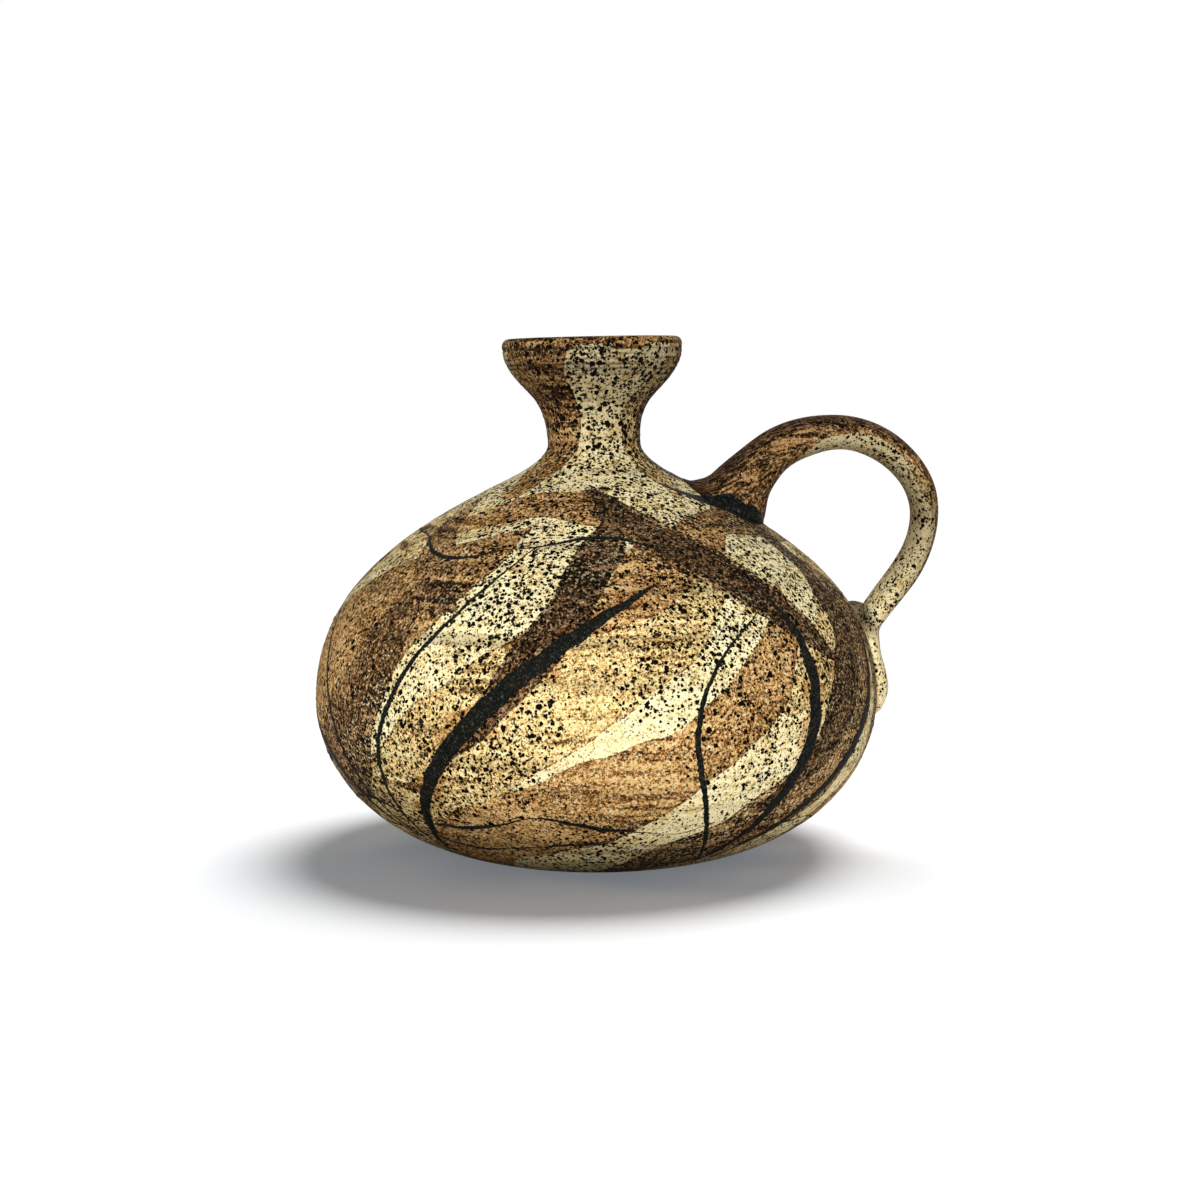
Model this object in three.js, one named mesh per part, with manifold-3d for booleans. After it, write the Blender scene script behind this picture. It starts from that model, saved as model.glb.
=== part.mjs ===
// Handled vase: a squat thrown stoneware vessel with a waisted neck, a cup mouth and one pulled strap handle.
// Millimetres, +Z up. The origin is the middle of the flat base, and the handle stands towards +X.
// The vessel is thrown in four sections that meet rim to rim on level joints. The handle is pulled apart,
// pressed onto the body, and bedded with a coil under its upper root and a wad above its lower end.

import * as THREE from 'three';
import { mergeVertices } from 'three/addons/utils/BufferGeometryUtils.js';
import Module from 'manifold-3d';

const degrees = THREE.MathUtils.degToRad;

// Overall height, which sets how far the shoulder rises
const TOTAL_HEIGHT = 190;

// Wall of the vessel
const WALL = 5.5;
const FLOOR_THICKNESS = 7;

// Lower body: flat base up to the widest line
const BASE_RADIUS = 47;
const BELLY_RADIUS = 104.2;
const BELLY_RISE = 58;
const BASE_SLOPE = degrees(12);
const BASE_PULL = 40;
const BELLY_PULL_BELOW = 24;

// Upper body: widest line up to the root of the neck
const NECK_ROOT_RADIUS = 41.8;
const SHOULDER_SLOPE = degrees(28.5);
const BELLY_PULL_ABOVE = 41.5;
const SHOULDER_PULL = 28;

// Neck: root of the neck, waist, and the turn into the cup
const WAIST_RADIUS = 17.4;
const WAIST_RISE = 18;
const NECK_ROOT_PULL = 11.4;
const WAIST_PULL = 7;
const CUP_ROOT_RADIUS = 22.5;
const CUP_ROOT_RISE = 17.1;
const CUP_SLOPE = degrees(49.5);
const CUP_ROOT_PULL = 6.5;

// Mouth cup with a lip band set off by a groove
const LIP_RADIUS = 33.2;
const CUP_RISE = 17.3;
const CUP_PULL = 7.2;
const LIP_BAND_HEIGHT = 4.1;
const LIP_GROOVE_DEPTH = 0.5;
const LIP_ROUNDING = 2;

// Handle loop: where its middle line runs
const ROOT_DROP = 4.9; // from the root of the neck down to where the middle line meets the shoulder
const ROOT_ANGLE = degrees(55); // above level
const ROOT_SINK = 6;
const ROOT_PULL = 3;
const CROWN_RISE = 21.9; // from the root of the neck up to the top of the middle line
const CROWN_INSET = 32; // from the outermost point of the middle line back to its top
const CROWN_PULL_IN = 26.5;
const CROWN_PULL_OUT = 11;
const HANDLE_OVERHANG = 17.7; // from the widest line of the belly out to the outermost point
const SIDE_DROP = 30.1; // from the top down to the outermost point
const SIDE_PULL_ABOVE = 19;
const SIDE_PULL_BELOW = 15;
const FOOT_RISE = 29; // from the widest line up to where the limb bends onto the belly
const FOOT_STANDOFF = 5.7;
const FOOT_ANGLE = degrees(54); // below level, towards the body
const FOOT_PULL = 16;

// Handle tail: pressed onto the belly, with a thumb dent and a rounded end, as drops below the bend
const TUCK_DROP = 9;
const DENT_DROP = 14;
const BULGE_DROP = 28;
const TAIL_END_DROP = 38;
const TUCK_PULL = 4;

// Handle sections: thickness across the strap in the plane of the loop, and width of the strap
const ROOT_SECTION = { thickness: 31, width: 37 };
const CROWN_SECTION = { thickness: 13.2, width: 23 };
const SIDE_SECTION = { thickness: 10, width: 21.5 };
const FOOT_SECTION = { thickness: 9.8, width: 21.5 };
const TUCK_SECTION = { thickness: 9.6, width: 22 };
const DENT_SECTION = { thickness: 6.8, width: 23 };
const BULGE_SECTION = { thickness: 11, width: 22 };
const TAIL_END_SECTION = { thickness: 2.6, width: 13 };
const ROOT_FLARE = 1.4; // how sharply the strap swells towards its root
const EVEN_TAPER = 1;

// Coil under the upper root
const COIL_UNDER_RADIUS = 3.4;
const COIL_SIDE_RADIUS = 4.2;
const COIL_END_RADIUS = 2.2;
const COIL_LIFT = 1.6; // of the stretch under the strap, off the shoulder
const COIL_INSET_BELOW = 4.7; // from the edge of the root's first section in to the middle line of the coil
const COIL_INSET_BESIDE = 0.9;
const COIL_SPAN = degrees(112); // to each side of the underside

// Wad in the angle above the lower end
const WAD_RISE = 1.6; // from the bend of the handle up to the middle of the wad
const WAD_DEPTH = 5;
const WAD_WIDTH = 17;
const WAD_HEIGHT = 8;

// Bed of slip left between a pressed-on piece and its neighbour
const CLEARANCE = 0.3;

// Colour and roughness of each piece: cream stoneware, brown washes and blue-black slip
const FINISHES = {
  lower_body: { color: '#b99a66', roughness: 0.85 },
  upper_body: { color: '#a5824f', roughness: 0.85 },
  neck: { color: '#c8ad78', roughness: 0.86 },
  mouth_cup: { color: '#d8c592', roughness: 0.87 },
  handle: { color: '#8f6c42', roughness: 0.82 },
  upper_root_coil: { color: '#23282b', roughness: 0.6 },
  lower_root_wad: { color: '#6b5434', roughness: 0.84 },
};

// Fineness of the round faces
const LATHE_SEGMENTS = 48;
const LONG_CURVE_STEPS = 9;
const SHORT_CURVE_STEPS = 5;
const ROUNDING_STEPS = 3;
const STRAP_SIDES = 20;
const LOOP_STEPS = 9;
const TAIL_STEPS = 3;
const COIL_SIDES = 12;
const COIL_STEPS = 16;
const WAD_STEPS = 12;

const wasm = await Module();
wasm.setup();

const point = (radius, height) => new THREE.Vector2(radius, height);
const heading = (angle) => point(Math.cos(angle), Math.sin(angle));
const UPWARD = heading(Math.PI / 2);

// Solids

function solidFrom(geometry) {
  geometry.deleteAttribute('normal');
  geometry.deleteAttribute('uv');
  const welded = mergeVertices(geometry);
  const corners = welded.index.array;
  const triangles = [];
  for (let i = 0; i < corners.length; i += 3) {
    const [a, b, c] = corners.slice(i, i + 3);
    if (a !== b && b !== c && c !== a) triangles.push(a, b, c);
  }
  return new wasm.Manifold(new wasm.Mesh({
    numProp: 3,
    vertProperties: new Float32Array(welded.attributes.position.array),
    triVerts: new Uint32Array(triangles),
  }));
}

function geometryFrom(solid) {
  const mesh = solid.getMesh();
  const geometry = new THREE.BufferGeometry();
  geometry.setAttribute('position', new THREE.BufferAttribute(mesh.vertProperties, 3));
  geometry.setIndex(new THREE.BufferAttribute(mesh.triVerts, 1));
  geometry.computeVertexNormals();
  return geometry;
}

// A profile of radius and height, turned about the upright axis
function turned(profile) {
  const lathe = new THREE.LatheGeometry(profile, LATHE_SEGMENTS);
  return solidFrom(lathe.rotateX(Math.PI / 2));
}

// Oval rings skinned in order and closed at both ends. A ring has a centre and its two half axes.
function lofted(rings, sides) {
  const vertices = [];
  for (const { centre, across, along } of rings) {
    for (let side = 0; side < sides; side += 1) {
      const angle = (2 * Math.PI * side) / sides;
      const vertex = centre.clone();
      vertex.addScaledVector(across, Math.cos(angle)).addScaledVector(along, Math.sin(angle));
      vertices.push(vertex);
    }
  }
  const last = rings.length - 1;
  const startCap = vertices.push(rings[0].centre) - 1;
  const endCap = vertices.push(rings[last].centre) - 1;
  const triangles = [];
  for (let side = 0; side < sides; side += 1) {
    const next = (side + 1) % sides;
    for (let ring = 0; ring < last; ring += 1) {
      const near = ring * sides;
      const far = near + sides;
      triangles.push(near + side, far + next, near + next);
      triangles.push(near + side, far + side, far + next);
    }
    triangles.push(startCap, side, next);
    triangles.push(endCap, last * sides + next, last * sides + side);
  }
  const geometry = new THREE.BufferGeometry().setFromPoints(vertices);
  geometry.setIndex(triangles);
  return solidFrom(geometry);
}

// Profiles

// A smooth curve between two points, each with a direction of travel and how far it pulls the curve
function bend(start, startHeading, startPull, end, endHeading, endPull) {
  const startControl = start.clone().addScaledVector(startHeading, startPull);
  const endControl = end.clone().addScaledVector(endHeading, -endPull);
  return new THREE.CubicBezierCurve(start, startControl, endControl, end);
}

// Where a run of points first passes a given radius (x) or height (y)
function crossing(points, axis, value) {
  for (let i = 1; i < points.length; i += 1) {
    const before = points[i - 1];
    const after = points[i];
    const share = (value - before[axis]) / (after[axis] - before[axis]);
    if (share >= 0 && share <= 1) return before.clone().lerp(after, share);
  }
  throw new Error(`no point of the profile has ${axis} = ${value}`);
}

function stretch(points, low, high) {
  const between = points.filter((spot) => spot.y > low && spot.y < high);
  return [crossing(points, 'y', low), ...between, crossing(points, 'y', high)];
}

// Points moved square to the run that they lie on, to the left of travel
function shifted(points, distance) {
  return points.map((spot, i) => {
    const before = points[Math.max(i - 1, 0)];
    const after = points[Math.min(i + 1, points.length - 1)];
    const travel = after.clone().sub(before).normalize();
    return point(spot.x - travel.y * distance, spot.y + travel.x * distance);
  });
}

const bellyHeight = BELLY_RISE;
const rimHeight = TOTAL_HEIGHT;
const grooveHeight = rimHeight - LIP_BAND_HEIGHT;
const cupRootHeight = grooveHeight - CUP_RISE;
const waistHeight = cupRootHeight - CUP_ROOT_RISE;
const neckRootHeight = waistHeight - WAIST_RISE;

const baseEdge = point(BASE_RADIUS, 0);
const belly = point(BELLY_RADIUS, bellyHeight);
const neckRoot = point(NECK_ROOT_RADIUS, neckRootHeight);
const waist = point(WAIST_RADIUS, waistHeight);
const cupRoot = point(CUP_ROOT_RADIUS, cupRootHeight);
const groove = point(LIP_RADIUS - LIP_GROOVE_DEPTH, grooveHeight);

const upTheBase = heading(BASE_SLOPE);
const upTheShoulder = heading(Math.PI - SHOULDER_SLOPE);
const upTheCup = heading(CUP_SLOPE);

const bowlCurve = bend(baseEdge, upTheBase, BASE_PULL, belly, UPWARD, BELLY_PULL_BELOW);
const shoulderCurve = bend(belly, UPWARD, BELLY_PULL_ABOVE, neckRoot, upTheShoulder, SHOULDER_PULL);
const neckCurve = bend(neckRoot, upTheShoulder, NECK_ROOT_PULL, waist, UPWARD, WAIST_PULL);
const collarCurve = bend(waist, UPWARD, WAIST_PULL, cupRoot, upTheCup, CUP_ROOT_PULL);
const cupCurve = bend(cupRoot, upTheCup, CUP_ROOT_PULL, groove, UPWARD, CUP_PULL);

const outerPoints = [
  ...bowlCurve.getPoints(LONG_CURVE_STEPS),
  ...shoulderCurve.getPoints(LONG_CURVE_STEPS).slice(1),
  ...neckCurve.getPoints(SHORT_CURVE_STEPS).slice(1),
  ...collarCurve.getPoints(SHORT_CURVE_STEPS).slice(1),
  ...cupCurve.getPoints(SHORT_CURVE_STEPS).slice(1),
];
const innerPoints = shifted(outerPoints, WALL);
const outerRadiusAt = (height) => crossing(outerPoints, 'y', height).x;
const shoulderPoints = stretch(outerPoints, bellyHeight, waistHeight);
const shoulderHeightAt = (radius) => crossing(shoulderPoints, 'x', radius).y;

// One thrown section: its outer face up, a level joint, and its inner face down
function wallSection(low, high) {
  const outer = stretch(outerPoints, low, high);
  const inner = stretch(innerPoints, low, high).reverse();
  return [...outer, ...inner, outer[0]];
}

function bowlProfile() {
  const outer = stretch(outerPoints, 0, bellyHeight);
  const inner = stretch(innerPoints, FLOOR_THICKNESS, bellyHeight).reverse();
  return [point(0, 0), ...outer, ...inner, point(0, FLOOR_THICKNESS)];
}

function cupProfile() {
  const outer = stretch(outerPoints, cupRootHeight, grooveHeight);
  const inner = stretch(innerPoints, cupRootHeight, grooveHeight).reverse();
  const boreRadius = inner[0].x;
  const roundingHeight = rimHeight - LIP_ROUNDING;
  const outerRounding = new THREE.EllipseCurve(
    LIP_RADIUS - LIP_ROUNDING, roundingHeight, LIP_ROUNDING, LIP_ROUNDING, 0, Math.PI / 2);
  const innerRounding = new THREE.EllipseCurve(
    boreRadius + LIP_ROUNDING, roundingHeight, LIP_ROUNDING, LIP_ROUNDING, Math.PI / 2, Math.PI);
  const band = point(LIP_RADIUS, grooveHeight + LIP_GROOVE_DEPTH);
  return [
    ...outer,
    band,
    ...outerRounding.getPoints(ROUNDING_STEPS),
    ...innerRounding.getPoints(ROUNDING_STEPS),
    ...inner,
    outer[0],
  ];
}

// The whole vessel as one block, a clearance larger all over, to seat the pressed-on pieces
function vesselSeat() {
  const faces = shifted(outerPoints, -CLEARANCE);
  const bottom = point(0, faces[0].y);
  const top = point(0, faces[faces.length - 1].y);
  return turned([bottom, ...faces, top]);
}

// Handle

const rootHeight = neckRootHeight - ROOT_DROP;
const rootOnShoulder = point(outerRadiusAt(rootHeight), rootHeight);
const upTheRoot = heading(ROOT_ANGLE);
const rootStart = rootOnShoulder.clone().addScaledVector(upTheRoot, -ROOT_SINK);
const outermost = point(BELLY_RADIUS + HANDLE_OVERHANG, neckRootHeight + CROWN_RISE - SIDE_DROP);
const crown = point(outermost.x - CROWN_INSET, neckRootHeight + CROWN_RISE);
const footHeight = bellyHeight + FOOT_RISE;
const foot = point(outerRadiusAt(footHeight) + FOOT_STANDOFF, footHeight);
const onBelly = (drop) => point(outerRadiusAt(footHeight - drop), footHeight - drop);

// A stretch of the tail, whose middle line lies in the face of the belly
const bellyRun = (startDrop, endDrop) => (t) => onBelly(THREE.MathUtils.lerp(startDrop, endDrop, t));

function handleRuns() {
  const outward = heading(0);
  const downward = UPWARD.clone().negate();
  const inTheLimb = heading(Math.PI + FOOT_ANGLE);
  const tuck = onBelly(TUCK_DROP);
  const downTheBelly = onBelly(DENT_DROP).sub(tuck).normalize();
  const rise = bend(rootStart, upTheRoot, ROOT_PULL + ROOT_SINK, crown, outward, CROWN_PULL_IN);
  const fall = bend(crown, outward, CROWN_PULL_OUT, outermost, downward, SIDE_PULL_ABOVE);
  const limb = bend(outermost, downward, SIDE_PULL_BELOW, foot, inTheLimb, FOOT_PULL);
  const turn = bend(foot, inTheLimb, TUCK_PULL, tuck, downTheBelly, TUCK_PULL);
  const along = (curve) => (t) => curve.getPoint(t);
  return [
    { at: along(rise), from: ROOT_SECTION, to: CROWN_SECTION, steps: LOOP_STEPS, taper: ROOT_FLARE },
    { at: along(fall), from: CROWN_SECTION, to: SIDE_SECTION, steps: LOOP_STEPS },
    { at: along(limb), from: SIDE_SECTION, to: FOOT_SECTION, steps: LOOP_STEPS },
    { at: along(turn), from: FOOT_SECTION, to: TUCK_SECTION, steps: TAIL_STEPS },
    { at: bellyRun(TUCK_DROP, DENT_DROP), from: TUCK_SECTION, to: DENT_SECTION, steps: TAIL_STEPS },
    { at: bellyRun(DENT_DROP, BULGE_DROP), from: DENT_SECTION, to: BULGE_SECTION, steps: TAIL_STEPS },
    { at: bellyRun(BULGE_DROP, TAIL_END_DROP), from: BULGE_SECTION, to: TAIL_END_SECTION, steps: TAIL_STEPS },
  ];
}

function handleStations() {
  const stations = [];
  for (const { at, from, to, steps, taper = EVEN_TAPER } of handleRuns()) {
    for (let step = stations.length ? 1 : 0; step <= steps; step += 1) {
      const t = step / steps;
      const fromShare = (1 - t) ** taper;
      stations.push({
        spot: at(t),
        thickness: THREE.MathUtils.lerp(to.thickness, from.thickness, fromShare),
        width: THREE.MathUtils.lerp(to.width, from.width, fromShare),
      });
    }
  }
  return stations;
}

// The strap, with every face moved out by a margin
function strap(margin) {
  const stations = handleStations();
  const rings = stations.map(({ spot, thickness, width }, i) => {
    const before = stations[Math.max(i - 1, 0)].spot;
    const after = stations[Math.min(i + 1, stations.length - 1)].spot;
    const travel = after.clone().sub(before).normalize();
    return {
      centre: new THREE.Vector3(spot.x, 0, spot.y),
      across: new THREE.Vector3(-travel.y, 0, travel.x).multiplyScalar(thickness / 2 + margin),
      along: new THREE.Vector3(0, width / 2 + margin, 0),
    };
  });
  return lofted(rings, STRAP_SIDES);
}

// A coil on the shoulder, round the underside of the upper root, thinned where the strap presses on it
function rootCoil() {
  const reach = ROOT_SECTION.thickness / 2 - COIL_INSET_BELOW;
  const spread = ROOT_SECTION.width / 2 - COIL_INSET_BESIDE;
  const onShoulder = (t) => {
    const angle = THREE.MathUtils.lerp(-COIL_SPAN, COIL_SPAN, t);
    const x = rootOnShoulder.x + reach * Math.cos(angle);
    const y = spread * Math.sin(angle);
    const lift = COIL_LIFT * Math.sin(Math.PI * t);
    return new THREE.Vector3(x, y, shoulderHeightAt(Math.hypot(x, y)) + lift);
  };
  const fullness = new THREE.SplineCurve([
    point(0, COIL_END_RADIUS),
    point(0.25, COIL_SIDE_RADIUS),
    point(0.5, COIL_UNDER_RADIUS),
    point(0.75, COIL_SIDE_RADIUS),
    point(1, COIL_END_RADIUS),
  ]);
  const up = new THREE.Vector3(0, 0, 1);
  const rings = [];
  for (let step = 0; step <= COIL_STEPS; step += 1) {
    const t = step / COIL_STEPS;
    const before = onShoulder(Math.max(t - 1 / COIL_STEPS, 0));
    const after = onShoulder(Math.min(t + 1 / COIL_STEPS, 1));
    const travel = after.sub(before).normalize();
    const across = travel.clone().cross(up).normalize();
    const along = across.clone().cross(travel);
    const radius = fullness.getPoint(t).y;
    rings.push({
      centre: onShoulder(t),
      across: across.multiplyScalar(radius),
      along: along.multiplyScalar(radius),
    });
  }
  return lofted(rings, COIL_SIDES);
}

// An oval wad whose middle lies in the face of the belly
function rootWad() {
  const wadHeight = footHeight + WAD_RISE;
  const wad = new THREE.SphereGeometry(1, WAD_STEPS, WAD_STEPS);
  wad.rotateX(Math.PI / 2);
  wad.scale(WAD_DEPTH, WAD_WIDTH / 2, WAD_HEIGHT / 2);
  wad.translate(outerRadiusAt(wadHeight), 0, wadHeight);
  return solidFrom(wad);
}

// Assembly

const vase = new THREE.Group();

function addPiece(name, solid) {
  const material = new THREE.MeshStandardMaterial({ ...FINISHES[name], metalness: 0 });
  const piece = new THREE.Mesh(geometryFrom(solid), material);
  piece.name = name;
  vase.add(piece);
}

const seat = vesselSeat();
const strapSeat = strap(CLEARANCE);

addPiece('lower_body', turned(bowlProfile()));
addPiece('upper_body', turned(wallSection(bellyHeight, neckRootHeight)));
addPiece('neck', turned(wallSection(neckRootHeight, cupRootHeight)));
addPiece('mouth_cup', turned(cupProfile()));
addPiece('handle', strap(0).subtract(seat));
addPiece('upper_root_coil', rootCoil().subtract(seat).subtract(strapSeat));
addPiece('lower_root_wad', rootWad().subtract(seat).subtract(strapSeat));

export default vase;
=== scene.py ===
# Handled vase: a thrown stoneware vessel under brown washes, dark spatter and blue-black brushwork,
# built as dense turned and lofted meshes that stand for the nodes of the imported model.
# Shapes are worked out in millimetres and scaled to metres where a mesh is made.
# An angle on the vessel is in degrees from the front towards the handle.

import functools
import math

import bpy
import numpy as np
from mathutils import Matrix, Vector


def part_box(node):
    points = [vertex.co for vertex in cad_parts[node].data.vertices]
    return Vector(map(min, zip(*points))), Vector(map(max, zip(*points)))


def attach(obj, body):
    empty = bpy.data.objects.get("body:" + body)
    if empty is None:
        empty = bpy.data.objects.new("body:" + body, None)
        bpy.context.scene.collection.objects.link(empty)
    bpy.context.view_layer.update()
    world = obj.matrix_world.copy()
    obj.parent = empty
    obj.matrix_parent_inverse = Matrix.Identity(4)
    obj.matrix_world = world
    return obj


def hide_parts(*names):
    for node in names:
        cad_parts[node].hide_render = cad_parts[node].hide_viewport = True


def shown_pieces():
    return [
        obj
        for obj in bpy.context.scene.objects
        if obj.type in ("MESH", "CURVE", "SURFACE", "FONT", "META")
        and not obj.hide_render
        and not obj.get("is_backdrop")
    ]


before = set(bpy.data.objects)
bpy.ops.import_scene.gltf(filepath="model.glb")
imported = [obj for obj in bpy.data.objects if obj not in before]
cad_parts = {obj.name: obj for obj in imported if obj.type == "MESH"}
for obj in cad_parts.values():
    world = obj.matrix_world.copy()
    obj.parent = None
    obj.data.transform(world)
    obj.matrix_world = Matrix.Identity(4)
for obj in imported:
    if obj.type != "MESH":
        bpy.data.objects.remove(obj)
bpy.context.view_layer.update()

MM = 0.001


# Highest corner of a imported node
def top_of(node):
    return np.array(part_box(node)[1]) / MM


# Main sizes of the vessel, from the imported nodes
_, BELLY_RADIUS, BELLY_HEIGHT = top_of("lower_body")
NECK_ROOT_HEIGHT = top_of("upper_body")[2]
CUP_ROOT_HEIGHT = top_of("neck")[2]
_, LIP_RADIUS, RIM_HEIGHT = top_of("mouth_cup")

# Profile of the vessel, as the part is modelled
WALL = 5.5
FLOOR_THICKNESS = 7.0
BASE_RADIUS = 47.0
BASE_SLOPE = 12.0
BASE_PULL = 40.0
BELLY_PULL_BELOW = 24.0
BELLY_PULL_ABOVE = 41.5
NECK_ROOT_RADIUS = 41.8
SHOULDER_SLOPE = 28.5
SHOULDER_PULL = 28.0
NECK_ROOT_PULL = 11.4
WAIST_RADIUS = 17.4
WAIST_RISE = 18.0
WAIST_PULL = 7.0
CUP_ROOT_RADIUS = 22.5
CUP_SLOPE = 49.5
CUP_ROOT_PULL = 6.5
CUP_PULL = 7.2
LIP_BAND_HEIGHT = 4.1
LIP_GROOVE_DEPTH = 0.15
LIP_ROUNDING = 2.6
LIP_BAND_EDGE = [(0.05, 0.4), (0.0, 0.9)]  # inset from the lip, and rise above its groove
FLOOR_RINGS = (1.0, 0.7, 0.35)  # as shares of the floor's radius
WAIST_HEIGHT = NECK_ROOT_HEIGHT + WAIST_RISE
GROOVE_HEIGHT = RIM_HEIGHT - LIP_BAND_HEIGHT

# Marks of the hand and the wheel, with lumps as depth and size
LEAN = 1.2  # degrees that the rim dips away from the handle
SWAY = 1.6  # of the neck and the cup, away from the handle
RINGS = (0.06, 1.7)
RING_STRETCH = (0.02, 0.02, 1.0)
WOBBLE = (0.45, 70.0)
HOLLOW_DEPTH = 0.15  # of a ring or groove that is filled with pigment
# Tooling grooves of the cup: drop below the rim, depth and width
CUP_GROOVES = [(4.3, 0.24, 0.5), (6.2, 0.12, 0.35), (7.9, 0.17, 0.35), (10.0, 0.2, 0.4), (11.5, 0.16, 0.35),
               (13.6, 0.11, 0.4)]
GROOVE_STRENGTH = 0.6
GROOVE_PATCHES = (0.4, 24.0)
GROOVE_STRETCH = (1.0, 1.0, 0.1)

# Handle: where its middle line runs
ROOT_DROP = 4.9
ROOT_ANGLE = 55.0
ROOT_SINK = 6.0
ROOT_PULL = 3.0
CROWN_RISE = 21.9
CROWN_INSET = 32.0
CROWN_PULL_IN = 26.5
CROWN_PULL_OUT = 11.0
HANDLE_OVERHANG = 17.7
SIDE_DROP = 30.1
SIDE_PULL_ABOVE = 19.0
SIDE_PULL_BELOW = 15.0
FOOT_RISE = 29.0
FOOT_STANDOFF = 5.7
FOOT_ANGLE = 54.0
FOOT_PULL = 16.0
TUCK_PULL = 4.0
TAIL_DROPS = (9.0, 14.0, 28.0, 38.0)  # of the tuck, the dent, the bulge and the end, below the foot

# Handle sections: thickness in the plane of the loop, and width of the strap
STRAP_SECTIONS = np.array([
    (31.0, 37.0),  # root
    (13.2, 23.0),  # crown
    (10.0, 21.5),  # side
    (9.8, 21.5),  # foot
    (9.6, 22.0),  # tuck
    (6.8, 23.0),  # dent
    (11.0, 22.0),  # bulge
    (2.6, 13.0),  # end of the tail
])
ROOT_FLARE = 1.4
EVEN_TAPER = 1.0
STRAP_SQUARENESS = 0.92  # an oval has 1, and less is squarer
EASED_ROWS = 9
TAIL_ROUNDING = 4.0
TAIL_LEAST = 0.0004
ROOT_FILLET = 7.0
ROOT_FILLET_FADE = (0.3, 0.6)  # along the strap, from 0 to 1
TAIL_FILLET = 1.8
EDGE_SINK = 0.6
EDGE_SINK_REACH = 2.5
SEAM_STANDOFF = 1.6
SEAM_EDGE = (1.2, 2.2)
SEAM_TOP = 2.0
UNDERSIDE_SHAVE = 1.7
SHAVE_SPAN = ((0.04, 0.1), (0.15, 0.25))  # where it starts and ends, along the strap
PULL_MARKS = (0.16, 2.4)
PULL_STRETCH = (6, 14, 9)
THUMB_MARKS = (0.4, 15.0)

# Coil under the upper root, and wad above the lower end
COIL_RADII = (1.4, 2.7, 1.2, 2.7, 1.4)  # from end to end, thin under the strap
COIL_ROUNDING = 0.03  # of each end, as a share of the length
COIL_LEAST = 0.001
COIL_LIFT = 0.4
COIL_INSETS = (5.6, 0.9)  # below and beside the root
COIL_SPAN = 112.0
COIL_NECK_ROWS = 40  # of the neck's profile that the coil may climb
COIL_LUMPS = (0.06, 6.0)
COIL_GRAIN = (0.03, 1.3)
COIL_LUMP_RADIUS = 3.0
SMEAR_REACH = 4.6
SMEAR_LIMIT = 45.0
SMEAR_START = (0.1, 0.55)  # from the middle of the coil, which has 0, to its ends, which have 1
SMEAR_BLADES = [
    [(43, 138, 0.3), (54, 133.5, 2.4), (65, 130.5, 4.2), (74, 127.5, 3.2), (83, 124.5, 0.6)],
    [(124, 132, 0.6), (116, 130.5, 3.2), (107, 127.5, 2.8), (97, 124.5, 0.6)],
]
WAD_RISE = 1.6
WAD_DEPTH = 5.0
WAD_WIDTH = 17.0
WAD_HEIGHT = 8.0
WAD_ENDS = (0.02, 0.98)
WAD_LUMPS = (0.12, 5.0)

# Fineness of the meshes
SEGMENTS = 384
CURVE_STEPS = 400
BODY_ROW = 0.9
NECK_ROW = 0.6
CUP_ROW = 0.33
ROUNDING_STEPS = 8
STRAP_SIDES = 72
STRAP_ROW = 0.6
COIL_SIDES = 28
COIL_STEPS = 90
WAD_STEPS = 36
LUMP_WAVES = 14
LUMP_PACES = (0.6, 1.5)

# Brown washes: broad blades that rise towards the handle, as angle, height and half width along each blade
TAN_BLADES = [
    [(-112, 26, 6), (-85, 54, 26), (-61, 84, 28), (-41, 108, 16), (-22, 124, 1)],
    [(-46, 0, 12), (-26, 18, 17), (-4, 31, 17), (18, 50, 13), (36, 78, 9), (48, 104, 1)],
    [(-16, 86, 2), (2, 100, 10), (20, 113, 12), (40, 123, 8), (60, 129, 2)],
    [(60, 0, 8), (74, 22, 16), (88, 44, 14), (100, 70, 6), (106, 90, 1)],
    [(112, 4, 6), (132, 30, 22), (154, 58, 25), (172, 92, 14), (184, 122, 1)],
    [(178, 10, 6), (200, 34, 20), (222, 66, 22), (238, 98, 12), (250, 124, 1)],
    [(-66, 117, 2), (-44, 126, 8), (-20, 131, 10), (2, 128, 7), (16, 119, 1)],
    [(-48, 134, 6), (-54, 152, 9), (-47, 172, 13), (-40, 196, 15)],
    [(160, 136, 8), (166, 156, 9), (172, 178, 16), (176, 196, 18)],
]
PALE_BLADES = [
    [(-72, 2, 8), (-42, 30, 20), (-18, 62, 22), (8, 86, 15), (30, 106, 6), (40, 120, 1)],
    [(-124, 92, 6), (-92, 108, 14), (-56, 122, 13), (-24, 131, 8), (4, 136, 2)],
    [(40, 66, 4), (62, 86, 14), (84, 104, 17), (108, 110, 8), (122, 112, 1)],
    [(140, 60, 6), (164, 84, 18), (190, 104, 16), (214, 122, 4)],
    [(206, 8, 8), (232, 32, 18), (250, 60, 14), (262, 84, 2)],
    [(46, 134, 4), (62, 152, 7), (74, 172, 12), (84, 194, 14)],
]
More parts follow.
